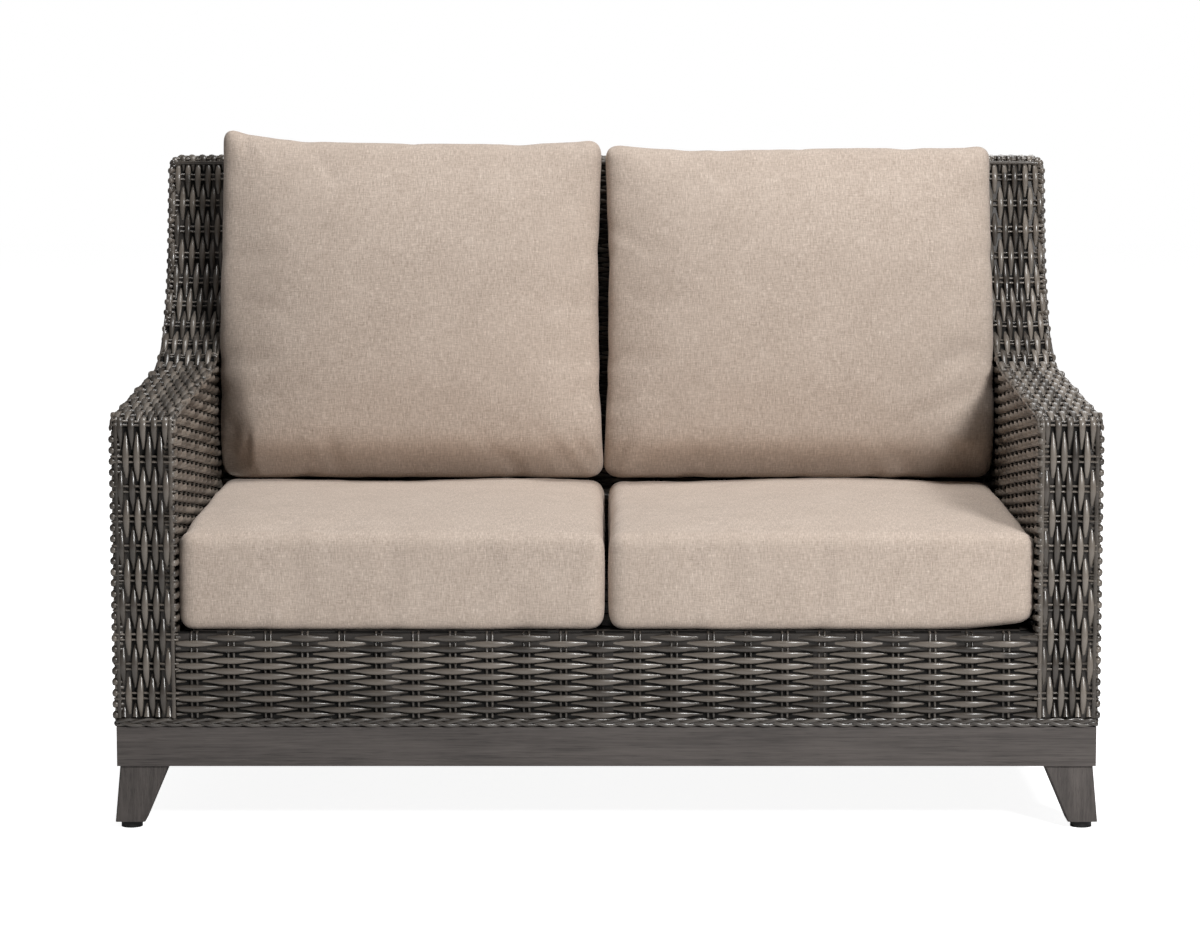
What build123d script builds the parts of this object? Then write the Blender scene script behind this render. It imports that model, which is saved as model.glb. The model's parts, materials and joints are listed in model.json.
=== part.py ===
"""Patio loveseat: a woven frame on a timber-grained aluminium base, with four loose cushions.

Millimetres. X runs along the seat, Y from front to back, Z up. The origin is on the floor
under the middle of the whole piece. Left is -X, as a person sees it from the front.
"""

import os
from math import cos, radians, tan

from build123d import *

os.makedirs("parts", exist_ok=True)

# Overall sizes
overall_width = 1430.0
frame_depth = 868.0
back_height = 941.5
arm_height = 596.5
arm_width = 96.0
arm_rise = 2.3
back_rake = 13.0
back_depth = 86.0
knee_height = 314.5

# Rounding of the side outline, seen from the side, and of the top corners, seen from the front
arm_nose_radius = 14.0
arm_to_back_share = 0.725
back_top_radius = 12.0
knee_radius = 160.0
shoulder_radius = 16.0

# Woven skin and the braid along its lower edge
skin = 6.0
stake_pitch = 53.5
stake_width = 14.0
stake_relief = 2.8
braid_height = 14.0
apron_lip_depth = 10.0

# Base band, legs and glides
base_bottom = 92.0
base_height = 57.5
base_thickness = 25.0
base_wall = 2.5
base_inset = 3.5
leg_top_size = 70.0
leg_foot_size = 43.0
leg_top_inset = 4.0
leg_splay = 7.0
leg_edge = 2.0
glide_height = 10.0
glide_radius = 15.5
stem_radius = 4.0
stem_length = 20.0
stem_clearance = 0.1
insert_radius = 6.5
insert_length = 24.0
plate_thickness = 5.0
bolt_radius = 4.0
bolt_length = 40.0
bolt_clearance = 0.2
bolt_head_radius = 7.5
bolt_head_height = 5.3

# Frame tubes
loop_tube = 20.0
loop_wall = 1.5
nose_bend_radius = 40.0
top_bend_radius = 22.0
spacer_size = 14.0
spacer_shares = (0.08, 0.3, 0.5, 0.73, 0.93)
seat_tube = 25.0
seat_wall = 1.5
back_rail_depth = 40.0
brace_lift = 12.0
upright_pitch = 310.0
post_pitch = 310.0

# Seat deck of interlaced straps
deck_height = 289.5
strap_width = 50.0
strap_thickness = 1.5
strap_landing = 15.0
strap_flat = 3.0
long_strap_count = 10
cross_strap_count = 5
clamp_bar_width = 12.0

# Cushions
soft_clearance = 0.3
seat_cushion_gap = 3.0
seat_cushion_thickness = 145.0
seat_cushion_setback = 4.0
seat_cushion_crown = 20.0
seat_fall = 5.5
back_cushion_overtop = 11.2
back_cushion_boxing = 118.0
back_cushion_crown = 48.0
back_cushion_lift = 1.2
back_cushion_narrowing = 4.0
cushion_edge_radius = 16.0
cushion_corner_radius = 24.0
cushion_seam_share = 0.2
draw_in = 6.0
batting = 16.0

overrun = 20.0

# Places worked out from the sizes above
half_width = overall_width / 2
front_y = -frame_depth / 2
lean = tan(radians(back_rake))
rear_y = frame_depth / 2 + back_top_radius * (lean + 1 / cos(radians(back_rake)) - 1)
inner_x = half_width - arm_width
arm_to_back_radius = arm_to_back_share * (back_height - arm_height)
base_top = base_bottom + base_height
weave_bottom = base_top + braid_height
rail_top = deck_height - 2 * strap_thickness
rail_bottom = rail_top - seat_tube
slope = tan(radians(arm_rise))
knee_y = rear_y - (back_height - knee_height) * lean
base_front = front_y + base_inset
base_rear = knee_y - base_inset
base_x = half_width - base_inset


def export(part, name):
    """Label a finished part and write it under its own name."""
    part.label = name
    export_step(part, f"parts/{name}.step")


def back_face_y(height, inset):
    """Y of the raked front face of the back at a height, pushed inwards by an inset."""
    return rear_y - back_depth - (back_height - height) * lean + inset / cos(radians(back_rake))


def spaced_by_stakes(low, high):
    """Places one stake pitch apart, centred between a low and a high limit."""
    count = int((high - low) / stake_pitch) + 1
    return [(low + high) / 2 + (i - (count - 1) / 2) * stake_pitch for i in range(count)]


def side_points(inset, foot):
    """Corners of the side outline pushed inwards by an inset, from the front foot to the rear one."""
    front = front_y + inset
    arm_drop = inset / cos(radians(arm_rise))
    nose = arm_height + (front - front_y) * slope - arm_drop
    elbow = (
        arm_height - arm_drop + (back_face_y(back_height, inset) - back_height * lean - front_y) * slope
    ) / (1 - lean * slope)
    top = back_height - inset
    rear_top = rear_y - inset * lean - inset / cos(radians(back_rake))
    knee = knee_y - inset
    knee_z = back_height - inset - (rear_top - knee) / lean
    return [
        (front, foot),
        (front, nose),
        (back_face_y(elbow, inset), elbow),
        (back_face_y(top, inset), top),
        (rear_top, top),
        (knee, knee_z),
        (knee, foot),
    ]


def side_outline(inset, foot, radii):
    """Close the side outline across its foot, with a radius at each corner above the feet."""
    points = side_points(inset, foot)
    FilletPolyline(*points, radius=radii)
    Line(points[-1], points[0])


bay_width = stake_pitch - stake_width
rear_bays = [Plane.YZ.offset(x) for x in spaced_by_stakes(-half_width + skin, half_width - skin)]


def rear_channel():
    """Section of the hollow between two stakes of the rear face, from below the foot to the top."""
    foot = weave_bottom - overrun
    top = back_height - skin
    hollow = side_points(stake_relief, foot)
    head_y = back_face_y(top, -stake_relief) + back_depth
    FilletPolyline(hollow[6], hollow[5], (head_y, top), radius=knee_radius)
    Polyline((head_y, top), (rear_y + overrun, top), (rear_y + overrun, foot), hollow[6])


skin_radii = (
    arm_nose_radius,
    arm_to_back_radius,
    back_top_radius,
    back_top_radius,
    knee_radius,
)
cavity_radii = (0, arm_to_back_radius + skin, 0, 0, knee_radius)
loop_inset = skin + loop_tube / 2
loop_radii = (
    nose_bend_radius,
    arm_to_back_radius + loop_inset,
    top_bend_radius,
    top_bend_radius,
    knee_radius,
)

stake_spots = [(y, back_height / 2) for y in spaced_by_stakes(front_y + skin, rear_y - stake_pitch)]

# Woven arms: a hollow skin of the side outline, open below and towards the seat deck and the back.
# Its faces are sunk between the upright stakes that the strands cross.
for side, name in ((-1, "left_arm_weave"), (1, "right_arm_weave")):
    with BuildPart() as arm:
        with BuildSketch(Plane.YZ.offset(side * half_width)):
            with BuildLine():
                side_outline(0, weave_bottom, skin_radii)
            make_face()
        extrude(amount=-side * arm_width)
        with BuildSketch(Plane.XZ):
            with BuildLine():
                Line(
                    (side * half_width, back_height),
                    (side * half_width, back_height - shoulder_radius),
                )
                Line(
                    (side * half_width, back_height),
                    (side * (half_width - shoulder_radius), back_height),
                )
                RadiusArc(
                    (side * half_width, back_height - shoulder_radius),
                    (side * (half_width - shoulder_radius), back_height),
                    -side * shoulder_radius,
                )
            make_face()
        extrude(amount=frame_depth, both=True, mode=Mode.SUBTRACT)
        with BuildSketch(Plane.YZ.offset(side * (half_width - skin))):
            with BuildLine():
                side_outline(skin, weave_bottom - overrun, cavity_radii)
            make_face()
        extrude(amount=-side * (arm_width - 2 * skin), mode=Mode.SUBTRACT)
        with BuildSketch(Plane.YZ.offset(side * inner_x)):
            with BuildLine():
                cavity = side_points(skin, weave_bottom - overrun)
                Polyline(
                    cavity[0],
                    (cavity[0][0], deck_height),
                    (back_face_y(deck_height, skin), deck_height),
                    cavity[3],
                    cavity[4],
                    cavity[5],
                    cavity[6],
                    close=True,
                )
            make_face()
        extrude(amount=side * skin, mode=Mode.SUBTRACT)
        with BuildSketch(Plane.YZ.offset(side * half_width)):
            with BuildLine():
                side_outline(skin, weave_bottom - overrun, cavity_radii)
            make_face()
            with Locations(*stake_spots):
                Rectangle(stake_width, back_height, mode=Mode.SUBTRACT)
        extrude(amount=-side * stake_relief, mode=Mode.SUBTRACT)
        with BuildSketch(Plane.YZ.offset(side * inner_x)):
            with BuildLine():
                Polyline(
                    (cavity[0][0], deck_height + skin),
                    cavity[1],
                    cavity[2],
                    (back_face_y(deck_height + skin, skin), deck_height + skin),
                    close=True,
                )
            make_face()
            with Locations(*stake_spots):
                Rectangle(stake_width, back_height, mode=Mode.SUBTRACT)
        extrude(amount=side * stake_relief, mode=Mode.SUBTRACT)
        with BuildSketch(*rear_bays):
            with BuildLine():
                rear_channel()
            make_face()
        extrude(amount=bay_width / 2, both=True, mode=Mode.SUBTRACT)
    export(arm.part, name)

# Woven back: one skin folded over the top, open below and at both ends
with BuildPart() as back_weave:
    with BuildSketch(Plane.YZ):
        outer = side_points(0, weave_bottom)
        inner = side_points(skin, weave_bottom)
        with BuildLine():
            FilletPolyline(
                (back_face_y(deck_height, 0), deck_height),
                *outer[3:],
                radius=(back_top_radius, back_top_radius, knee_radius),
            )
            Polyline(outer[6], inner[6])
            FilletPolyline(
                (back_face_y(deck_height, skin), deck_height),
                *inner[3:],
                radius=(0, 0, knee_radius),
            )
            Polyline(
                (back_face_y(deck_height, skin), deck_height),
                (back_face_y(deck_height, 0), deck_height),
            )
        make_face()
    extrude(amount=inner_x, both=True)
    with BuildSketch(*rear_bays):
        with BuildLine():
            rear_channel()
        make_face()
    extrude(amount=bay_width / 2, both=True, mode=Mode.SUBTRACT)
    channel_top = back_height - skin
    with BuildSketch(*rear_bays):
        with BuildLine():
            Polyline(
                (back_face_y(deck_height - overrun, stake_relief), deck_height - overrun),
                (back_face_y(channel_top, stake_relief), channel_top),
                (front_y, channel_top),
                (front_y, deck_height - overrun),
                close=True,
            )
        make_face()
    extrude(amount=bay_width / 2, both=True, mode=Mode.SUBTRACT)
export(back_weave.part, "back_weave")

# Woven apron: a front panel with a lip that lies on the front seat rail
with BuildPart() as apron:
    with BuildSketch(Plane.YZ):
        with BuildLine():
            Polyline(
                (front_y, weave_bottom),
                (front_y, deck_height),
                (front_y + skin + apron_lip_depth, deck_height),
                (front_y + skin + apron_lip_depth, rail_top),
                (front_y + skin, rail_top),
                (front_y + skin, weave_bottom),
                close=True,
            )
        make_face()
    extrude(amount=inner_x, both=True)
    fillet(apron.edges().filter_by(Axis.X).group_by(Axis.Z)[-1].sort_by(Axis.Y)[0], radius=skin / 2)
export(apron.part, "front_apron_weave")


def mitred_ring(names, edge_x, edge_front, edge_rear, thickness, bottom, height, wall):
    """Four bars mitred at the corners of a rectangle; a wall of zero leaves them solid."""
    middle_y = (edge_front + edge_rear) / 2
    half_depth = (edge_rear - edge_front) / 2
    for name, angle, reach, stand in (
        (names[0], 0, edge_x, half_depth),
        (names[1], 180, edge_x, half_depth),
        (names[2], -90, half_depth, edge_x),
        (names[3], 90, half_depth, edge_x),
    ):
        along = Vector(1, 0, 0).rotate(Axis.Z, angle)
        inward = Vector(0, 1, 0).rotate(Axis.Z, angle)
        centre = Vector(0, middle_y, bottom + height / 2) - inward * (stand - thickness / 2)
        with BuildPart() as bar:
            with BuildSketch(Plane(centre, x_dir=inward, z_dir=along)):
                Rectangle(thickness, height)
                if wall:
                    offset(amount=-wall, mode=Mode.SUBTRACT)
            extrude(amount=reach, both=True)
            for end in (-1, 1):
                corner = Vector(0, middle_y, bottom) - inward * stand + along * end * reach
                split(bisect_by=Plane(corner, z_dir=along * end + inward), keep=Keep.BOTTOM)
        export(bar.part, name)


# Base band and the braid above it
sides = ("front", "back", "left", "right")
mitred_ring(
    [f"base_rail_{s}" for s in sides],
    base_x,
    base_front,
    base_rear,
    base_thickness,
    base_bottom,
    base_height,
    base_wall,
)
mitred_ring(
    [f"braid_{s}" for s in sides], half_width, front_y, knee_y, skin, base_top, braid_height, 0
)

# Corner places shared by the legs, glides, plates and bolts
leg_top_x = base_x - leg_top_inset - leg_top_size / 2
leg_foot_x = base_x - leg_top_inset + leg_splay - leg_foot_size / 2
leg_top_front = base_front + leg_top_inset + leg_top_size / 2
leg_foot_front = base_front + leg_top_inset - leg_splay + leg_foot_size / 2
leg_top_rear = base_rear - leg_top_inset - leg_top_size / 2
leg_foot_rear = base_rear - leg_top_inset + leg_splay - leg_foot_size / 2
plate_size = leg_top_size + leg_top_inset - base_thickness
plate_x = base_x - base_thickness - plate_size / 2
plate_front = base_front + base_thickness + plate_size / 2
plate_rear = base_rear - base_thickness - plate_size / 2
corners = (
    ("front_left", -1, leg_top_front, leg_foot_front, plate_front),
    ("front_right", 1, leg_top_front, leg_foot_front, plate_front),
    ("back_left", -1, leg_top_rear, leg_foot_rear, plate_rear),
    ("back_right", 1, leg_top_rear, leg_foot_rear, plate_rear),
)
foot_spots = [(side * leg_foot_x, foot_y) for _, side, _, foot_y, _ in corners]
plate_spots = [(side * plate_x, plate_y) for _, side, _, _, plate_y in corners]

for (name, side, top_y, foot_y, plate_y), foot, bolt in zip(corners, foot_spots, plate_spots):
    # Leg: a tapered block that splays outwards, drilled for its bolt above and its insert below
    with BuildPart() as leg:
        for plane, low_middle, high_middle, mode in (
            (Plane.XZ, foot[0], side * leg_top_x, Mode.ADD),
            (Plane.YZ, foot_y, top_y, Mode.INTERSECT),
        ):
            with BuildSketch(plane):
                with BuildLine():
                    Polyline(
                        (low_middle - leg_foot_size / 2, glide_height),
                        (low_middle + leg_foot_size / 2, glide_height),
                        (high_middle + leg_top_size / 2, base_bottom),
                        (high_middle - leg_top_size / 2, base_bottom),
                        close=True,
                    )
                make_face()
            extrude(amount=overall_width, both=True, mode=mode)
        chamfer(leg.edges().filter_by(lambda e: abs(e.tangent_at(0).Z) > 0.5), length=leg_edge)
        with BuildSketch(Plane.XY.offset(glide_height)):
            with Locations(foot):
                RegularPolygon(insert_radius, 6)
        extrude(amount=insert_length, mode=Mode.SUBTRACT)
        with Locations(bolt + (base_bottom,)):
            Hole(bolt_radius + bolt_clearance, depth=bolt_length - plate_thickness)
    export(leg.part, f"leg_{name}")

    # Glide: a foot pad, turned up or down on its threaded stem
    with BuildPart() as pad:
        with BuildSketch():
            with Locations(foot):
                Circle(glide_radius)
        extrude(amount=glide_height)
    export(pad.part, f"glide_pad_{name}")

    with BuildPart() as stem:
        with BuildSketch(Plane.XY.offset(glide_height)):
            with Locations(foot):
                Circle(stem_radius)
        extrude(amount=stem_length)
    export(stem.part, f"glide_stem_{name}")

with BuildPart() as inserts:
    with BuildSketch(Plane.XY.offset(glide_height)):
        with Locations(*foot_spots):
            RegularPolygon(insert_radius, 6)
            Circle(stem_radius + stem_clearance, mode=Mode.SUBTRACT)
    extrude(amount=insert_length)
export(inserts.part, "glide_inserts")

with BuildPart() as plates:
    with BuildSketch(Plane.XY.offset(base_bottom)):
        with Locations(*plate_spots):
            Rectangle(plate_size, plate_size)
            Circle(bolt_radius + bolt_clearance, mode=Mode.SUBTRACT)
    extrude(amount=plate_thickness)
export(plates.part, "leg_corner_plates")

with BuildPart() as bolts:
    with BuildSketch(Plane.XY.offset(base_bottom + plate_thickness)):
        with Locations(*plate_spots):
            RegularPolygon(bolt_head_radius, 6)
    extrude(amount=bolt_head_height)
    with BuildSketch(Plane.XY.offset(base_bottom + plate_thickness)):
        with Locations(*plate_spots):
            Circle(bolt_radius)
    extrude(amount=-bolt_length)
export(bolts.part, "leg_bolts")

# Arm frames: two bent square tubes a side, standing on the base, joined by short spacers
loop_points = side_points(loop_inset, base_top)
loop_points[-1] = (loop_points[-1][0], base_top)
outer_loop_x = half_width - skin - loop_tube / 2
inner_loop_x = inner_x + skin + loop_tube / 2
for side, hand in ((-1, "left"), (1, "right")):
    for loop_x, place in ((outer_loop_x, "outer"), (inner_loop_x, "inner")):
        with BuildPart() as loop:
            with BuildLine(Plane.YZ.offset(side * loop_x)) as route:
                FilletPolyline(*loop_points, radius=loop_radii)
            with BuildSketch(Plane((side * loop_x, loop_points[0][0], base_top))):
                Rectangle(loop_tube, loop_tube)
                offset(amount=-loop_wall, mode=Mode.SUBTRACT)
            sweep(path=route.line)
        export(loop.part, f"arm_loop_{place}_{hand}")
    with BuildPart() as spacers:
        with BuildSketch(Plane.YZ.offset(side * (inner_loop_x + loop_tube / 2))):
            with Locations(*[(p.Y, p.Z) for p in (route.line @ s for s in spacer_shares)]):
                Rectangle(spacer_size, spacer_size)
        extrude(amount=side * (outer_loop_x - inner_loop_x - loop_tube))
    export(spacers.part, f"arm_spacers_{hand}")


def tube_along_x(low_y, low_z, depth, height, wall, reach):
    """A rectangular tube centred on X, from its lowest corner in Y and Z."""
    with BuildPart() as tube:
        with BuildSketch(Plane.YZ):
            with Locations((low_y + depth / 2, low_z + height / 2)):
                Rectangle(depth, height)
                offset(amount=-wall, mode=Mode.SUBTRACT)
        extrude(amount=reach, both=True)
    return tube.part


# Seat rails and the tubes that carry them
loop_side_x = inner_loop_x - loop_tube / 2
rail_front_y = front_y + skin
side_rail_x = loop_side_x - seat_tube
back_rail_y = back_face_y(rail_top, 0) - strap_landing
back_rail_rear = back_rail_y + back_rail_depth
side_rail_rear = knee_y - skin
export(
    tube_along_x(rail_front_y, rail_bottom, seat_tube, seat_tube, seat_wall, loop_side_x),
    "seat_rail_front",
)
export(
    tube_along_x(back_rail_y, rail_bottom, back_rail_depth, seat_tube, seat_wall, side_rail_x),
    "seat_rail_back",
)
for side, hand in ((-1, "left"), (1, "right")):
    with BuildPart() as side_rail:
        with BuildSketch(Plane.XZ.offset(-rail_front_y - seat_tube)):
            with Locations((side * (side_rail_x + seat_tube / 2), rail_top - seat_tube / 2)):
                Rectangle(seat_tube, seat_tube)
                offset(amount=-seat_wall, mode=Mode.SUBTRACT)
        extrude(amount=-(side_rail_rear - rail_front_y - seat_tube))
    export(side_rail.part, f"seat_rail_{hand}")

with BuildPart() as centre_brace:
    with BuildSketch(Plane.XZ.offset(-rail_front_y - seat_tube)):
        with Locations((0, rail_top - seat_tube / 2)):
            Rectangle(seat_tube, seat_tube)
            offset(amount=-seat_wall, mode=Mode.SUBTRACT)
    extrude(amount=-(back_rail_y - rail_front_y - seat_tube))
export(centre_brace.part, "seat_centre_brace")

base_brace_front = base_front + base_thickness
base_brace_rear = base_rear - base_thickness
base_brace_z = base_bottom + brace_lift
with BuildPart() as base_brace:
    with BuildSketch(Plane.XZ.offset(-base_brace_front)):
        with Locations((0, base_brace_z + seat_tube / 2)):
            Rectangle(seat_tube, seat_tube)
            offset(amount=-seat_wall, mode=Mode.SUBTRACT)
    extrude(amount=-(base_brace_rear - base_brace_front))
export(base_brace.part, "base_cross_brace")

with BuildPart() as centre_post:
    with BuildSketch(Plane.XY.offset(base_brace_z + seat_tube)):
        with Locations((0, (rail_front_y + back_rail_y) / 2)):
            Rectangle(seat_tube, seat_tube)
            offset(amount=-seat_wall, mode=Mode.SUBTRACT)
    extrude(amount=rail_bottom - base_brace_z - seat_tube)
export(centre_post.part, "seat_centre_post")

with BuildPart() as apron_posts:
    with BuildSketch(Plane.XY.offset(base_top)):
        with Locations(*[(i * post_pitch, rail_front_y + loop_tube / 2) for i in (-1, 0, 1)]):
            Rectangle(loop_tube, loop_tube)
            Rectangle(loop_tube - 2 * loop_wall, loop_tube - 2 * loop_wall, mode=Mode.SUBTRACT)
    extrude(amount=rail_bottom - base_top)
export(apron_posts.part, "apron_posts")

# Back frame: a top tube between the arm loops, carried by raked uprights
top_tube_z = back_height - skin - loop_tube
top_tube_y = back_face_y(back_height - skin, skin)
export(
    tube_along_x(top_tube_y, top_tube_z, loop_tube, loop_tube, loop_wall, loop_side_x),
    "back_top_tube",
)
with BuildPart() as uprights:
    for place in [i * upright_pitch for i in (-1, 0, 1)]:
        for wall, mode in ((0, Mode.ADD), (loop_wall, Mode.SUBTRACT)):
            with BuildSketch(Plane.YZ.offset(place)):
                with BuildLine():
                    Polyline(
                        (back_face_y(rail_top, skin + wall), rail_top),
                        (back_face_y(top_tube_z, skin + wall), top_tube_z),
                        (back_face_y(top_tube_z, skin + loop_tube - wall), top_tube_z),
                        (back_face_y(rail_top, skin + loop_tube - wall), rail_top),
                        close=True,
                    )
                make_face()
            extrude(amount=loop_tube / 2 - wall, both=True, mode=mode)
export(uprights.part, "back_uprights")

# Seat deck: straps woven over and under each other, held down by a bar on each rail
deck_front = rail_front_y + seat_tube
long_places = [
    -side_rail_x + (i + 0.5) * 2 * side_rail_x / long_strap_count for i in range(long_strap_count)
]
cross_places = [
    deck_front + (i + 0.5) * (back_rail_y - deck_front) / cross_strap_count
    for i in range(cross_strap_count)
]


def strap_points(start, end, crossings, over_first):
    """Side view of a strap that lies flat on both rails and alternates between them."""
    flat = strap_width / 2 + strap_flat
    lower = [(start - strap_landing, rail_top), (start, rail_top)]
    for i, place in enumerate(crossings):
        level = rail_top + strap_thickness * ((i + over_first) % 2)
        lower += [(place - flat, level), (place + flat, level)]
    lower += [(end, rail_top), (end + strap_landing, rail_top)]
    return lower + [(along, level + strap_thickness) for along, level in reversed(lower)]


with BuildPart() as long_straps:
    for i, place in enumerate(long_places):
        with BuildSketch(Plane.YZ.offset(place)):
            with BuildLine():
                Polyline(*strap_points(deck_front, back_rail_y, cross_places, i), close=True)
            make_face()
        extrude(amount=strap_width / 2, both=True)
export(long_straps.part, "seat_straps_long")

with BuildPart() as cross_straps:
    for i, place in enumerate(cross_places):
        with BuildSketch(Plane.XZ.offset(-place)):
            with BuildLine():
                Polyline(*strap_points(-side_rail_x, side_rail_x, long_places, i + 1), close=True)
            make_face()
        extrude(amount=strap_width / 2, both=True)
export(cross_straps.part, "seat_straps_cross")

bar_margin = (strap_landing - clamp_bar_width) / 2
bar_y = (deck_front - strap_landing + bar_margin, back_rail_y + bar_margin)
for place, name in zip(bar_y, ("front", "back")):
    with BuildPart() as bar:
        with BuildSketch(Plane.XY.offset(rail_top + strap_thickness)):
            with Locations((0, place + clamp_bar_width / 2)):
                Rectangle(2 * side_rail_x, clamp_bar_width)
        extrude(amount=strap_thickness)
    export(bar.part, f"strap_bar_{name}")
for side, hand in ((-1, "left"), (1, "right")):
    with BuildPart() as bar:
        with BuildSketch(Plane.XY.offset(rail_top + strap_thickness)):
            with Locations((side * (side_rail_x + strap_landing / 2), (deck_front + back_rail_y) / 2)):
                Rectangle(clamp_bar_width, back_rail_y - deck_front)
        extrude(amount=strap_thickness)
    export(bar.part, f"strap_bar_{hand}")


def cushion(plane, width, low, front_low, high, boxing, crown):
    """A boxed cushion: sides drawn in between round corners, and a crowned face, round a foam core.

    The plane lies on the flat face. Low and front_low are the lower edges of the flat face and of
    the crowned one; high is the upper edge of both. The rounded edges are cut off a little way in,
    where the seams run. Returns the padded cover and the core.
    """
    half = width / 2
    bottom = min(low, front_low)
    middle = (bottom + high) / 2
    across = Plane(plane.origin, x_dir=plane.x_dir, z_dir=-plane.y_dir)
    along = Plane(plane.origin, x_dir=plane.y_dir, z_dir=plane.x_dir)
    margin = batting + draw_in
    spread = cushion_seam_share * cushion_edge_radius
    with BuildPart() as core:
        with BuildSketch(plane.offset(batting)):
            with Locations((0, (low + high) / 2)):
                Rectangle(width - 2 * margin, high - low - 2 * margin)
        extrude(amount=boxing - 2 * batting)
    with BuildPart() as cover:
        with BuildSketch(plane) as outline:
            with BuildLine():
                ThreePointArc((-half, bottom), (0, bottom + draw_in), (half, bottom))
                ThreePointArc((half, bottom), (half - draw_in, middle), (half, high))
                ThreePointArc((half, high), (0, high - draw_in), (-half, high))
                ThreePointArc((-half, high), (-half + draw_in, middle), (-half, bottom))
            make_face()
            fillet(outline.vertices(), radius=cushion_corner_radius)
        extrude(amount=boxing + crown)
        for face_plane, start, front_start, end in (
            (along, low - spread, front_low - spread, high + spread),
            (across, -half - spread, -half - spread, half + spread),
        ):
            with BuildSketch(face_plane) as profile:
                with BuildLine():
                    Polyline((front_start, boxing), (start, 0), (end, 0), (end, boxing))
                    ThreePointArc(
                        (end, boxing), ((front_start + end) / 2, boxing + crown), (front_start, boxing)
                    )
                make_face()
                fillet(profile.vertices(), radius=cushion_edge_radius)
            extrude(amount=2 * high + 2 * half, both=True, mode=Mode.INTERSECT)
        add(core.part, mode=Mode.SUBTRACT)
    return cover.part, core.part


seat_cushion_width = inner_x - seat_cushion_gap / 2 - soft_clearance
seat_cushion_front = front_y + seat_cushion_setback
seat_cushion_rear = back_face_y(deck_height, 0) - soft_clearance
seat_cushion_bottom = deck_height + soft_clearance
seat_top = seat_cushion_bottom + seat_cushion_thickness
back_cushion_width = seat_cushion_width - back_cushion_narrowing
back_foot_z = seat_top + back_cushion_lift + soft_clearance
back_foot_y = back_face_y(back_foot_z, 0) - soft_clearance
back_cushion_height = (back_height + back_cushion_overtop - back_foot_z) / cos(radians(back_rake))
front_drop = back_cushion_boxing * tan(radians(back_rake - seat_fall))
for side, hand in ((-1, "left"), (1, "right")):
    centre_x = side * (seat_cushion_gap / 2 + seat_cushion_width / 2)
    seat_plane = Plane((centre_x, 0, seat_cushion_bottom))
    seat, seat_core = cushion(
        seat_plane,
        seat_cushion_width,
        seat_cushion_front,
        seat_cushion_front,
        seat_cushion_rear,
        seat_cushion_thickness,
        seat_cushion_crown,
    )
    export(seat, f"seat_cushion_{hand}")
    export(seat_core, f"seat_core_{hand}")
    back_plane = Plane((centre_x, back_foot_y, back_foot_z), x_dir=(1, 0, 0), z_dir=(0, -1, lean))
    back, back_core = cushion(
        back_plane,
        back_cushion_width,
        0,
        -front_drop,
        back_cushion_height,
        back_cushion_boxing,
        back_cushion_crown,
    )
    export(back, f"back_cushion_{hand}")
    export(back_core, f"back_core_{hand}")
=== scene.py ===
"""Patio loveseat: woven resin strands over a bent frame, a timber-grained base and linen cushions."""

import json
import math
import random

import bmesh
import bpy
import numpy as np
from mathutils import Matrix, Vector

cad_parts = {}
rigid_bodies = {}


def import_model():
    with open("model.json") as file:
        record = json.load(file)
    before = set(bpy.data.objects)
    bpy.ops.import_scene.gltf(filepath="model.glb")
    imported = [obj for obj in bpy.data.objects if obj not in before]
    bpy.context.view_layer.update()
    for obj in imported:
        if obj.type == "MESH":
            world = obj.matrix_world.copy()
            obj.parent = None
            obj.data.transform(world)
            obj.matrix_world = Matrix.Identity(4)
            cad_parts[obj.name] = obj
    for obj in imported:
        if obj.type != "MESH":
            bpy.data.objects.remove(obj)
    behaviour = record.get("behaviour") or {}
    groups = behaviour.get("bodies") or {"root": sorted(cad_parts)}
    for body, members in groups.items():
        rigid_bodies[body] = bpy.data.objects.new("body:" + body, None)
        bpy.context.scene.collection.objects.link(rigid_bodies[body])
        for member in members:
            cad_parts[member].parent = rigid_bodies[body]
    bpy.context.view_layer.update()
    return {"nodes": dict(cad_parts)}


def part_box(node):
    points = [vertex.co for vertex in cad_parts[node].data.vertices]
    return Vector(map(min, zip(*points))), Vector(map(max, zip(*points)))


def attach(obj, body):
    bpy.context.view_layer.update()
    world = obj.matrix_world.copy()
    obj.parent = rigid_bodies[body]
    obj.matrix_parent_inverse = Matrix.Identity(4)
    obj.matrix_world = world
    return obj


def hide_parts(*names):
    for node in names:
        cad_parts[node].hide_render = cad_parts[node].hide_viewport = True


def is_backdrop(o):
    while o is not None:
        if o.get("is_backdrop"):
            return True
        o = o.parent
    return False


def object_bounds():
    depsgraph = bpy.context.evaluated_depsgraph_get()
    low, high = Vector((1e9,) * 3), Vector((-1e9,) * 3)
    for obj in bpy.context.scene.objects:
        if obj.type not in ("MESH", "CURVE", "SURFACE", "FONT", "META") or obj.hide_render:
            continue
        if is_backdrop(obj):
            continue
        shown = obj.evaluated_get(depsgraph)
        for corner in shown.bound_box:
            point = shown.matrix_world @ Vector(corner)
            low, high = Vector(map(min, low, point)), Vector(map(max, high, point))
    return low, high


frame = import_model()

MM = 0.001

# Side outline of the frame, as the arms and the back are built
CROWN_RISE = 5 * MM
ARM_HEIGHT = 596.5 * MM + CROWN_RISE
ARM_RISE = math.tan(math.radians(2.3))
LEAN = math.tan(math.radians(13))
BACK_DEPTH = 86 * MM
KNEE_HEIGHT = 314.5 * MM
NOSE_RADIUS = 16 * MM
SWEEP_RADIUS = 250 * MM
TOP_RADIUS = 12 * MM
KNEE_RADIUS = 160 * MM
SHOULDER_RADIUS = 18 * MM

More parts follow.
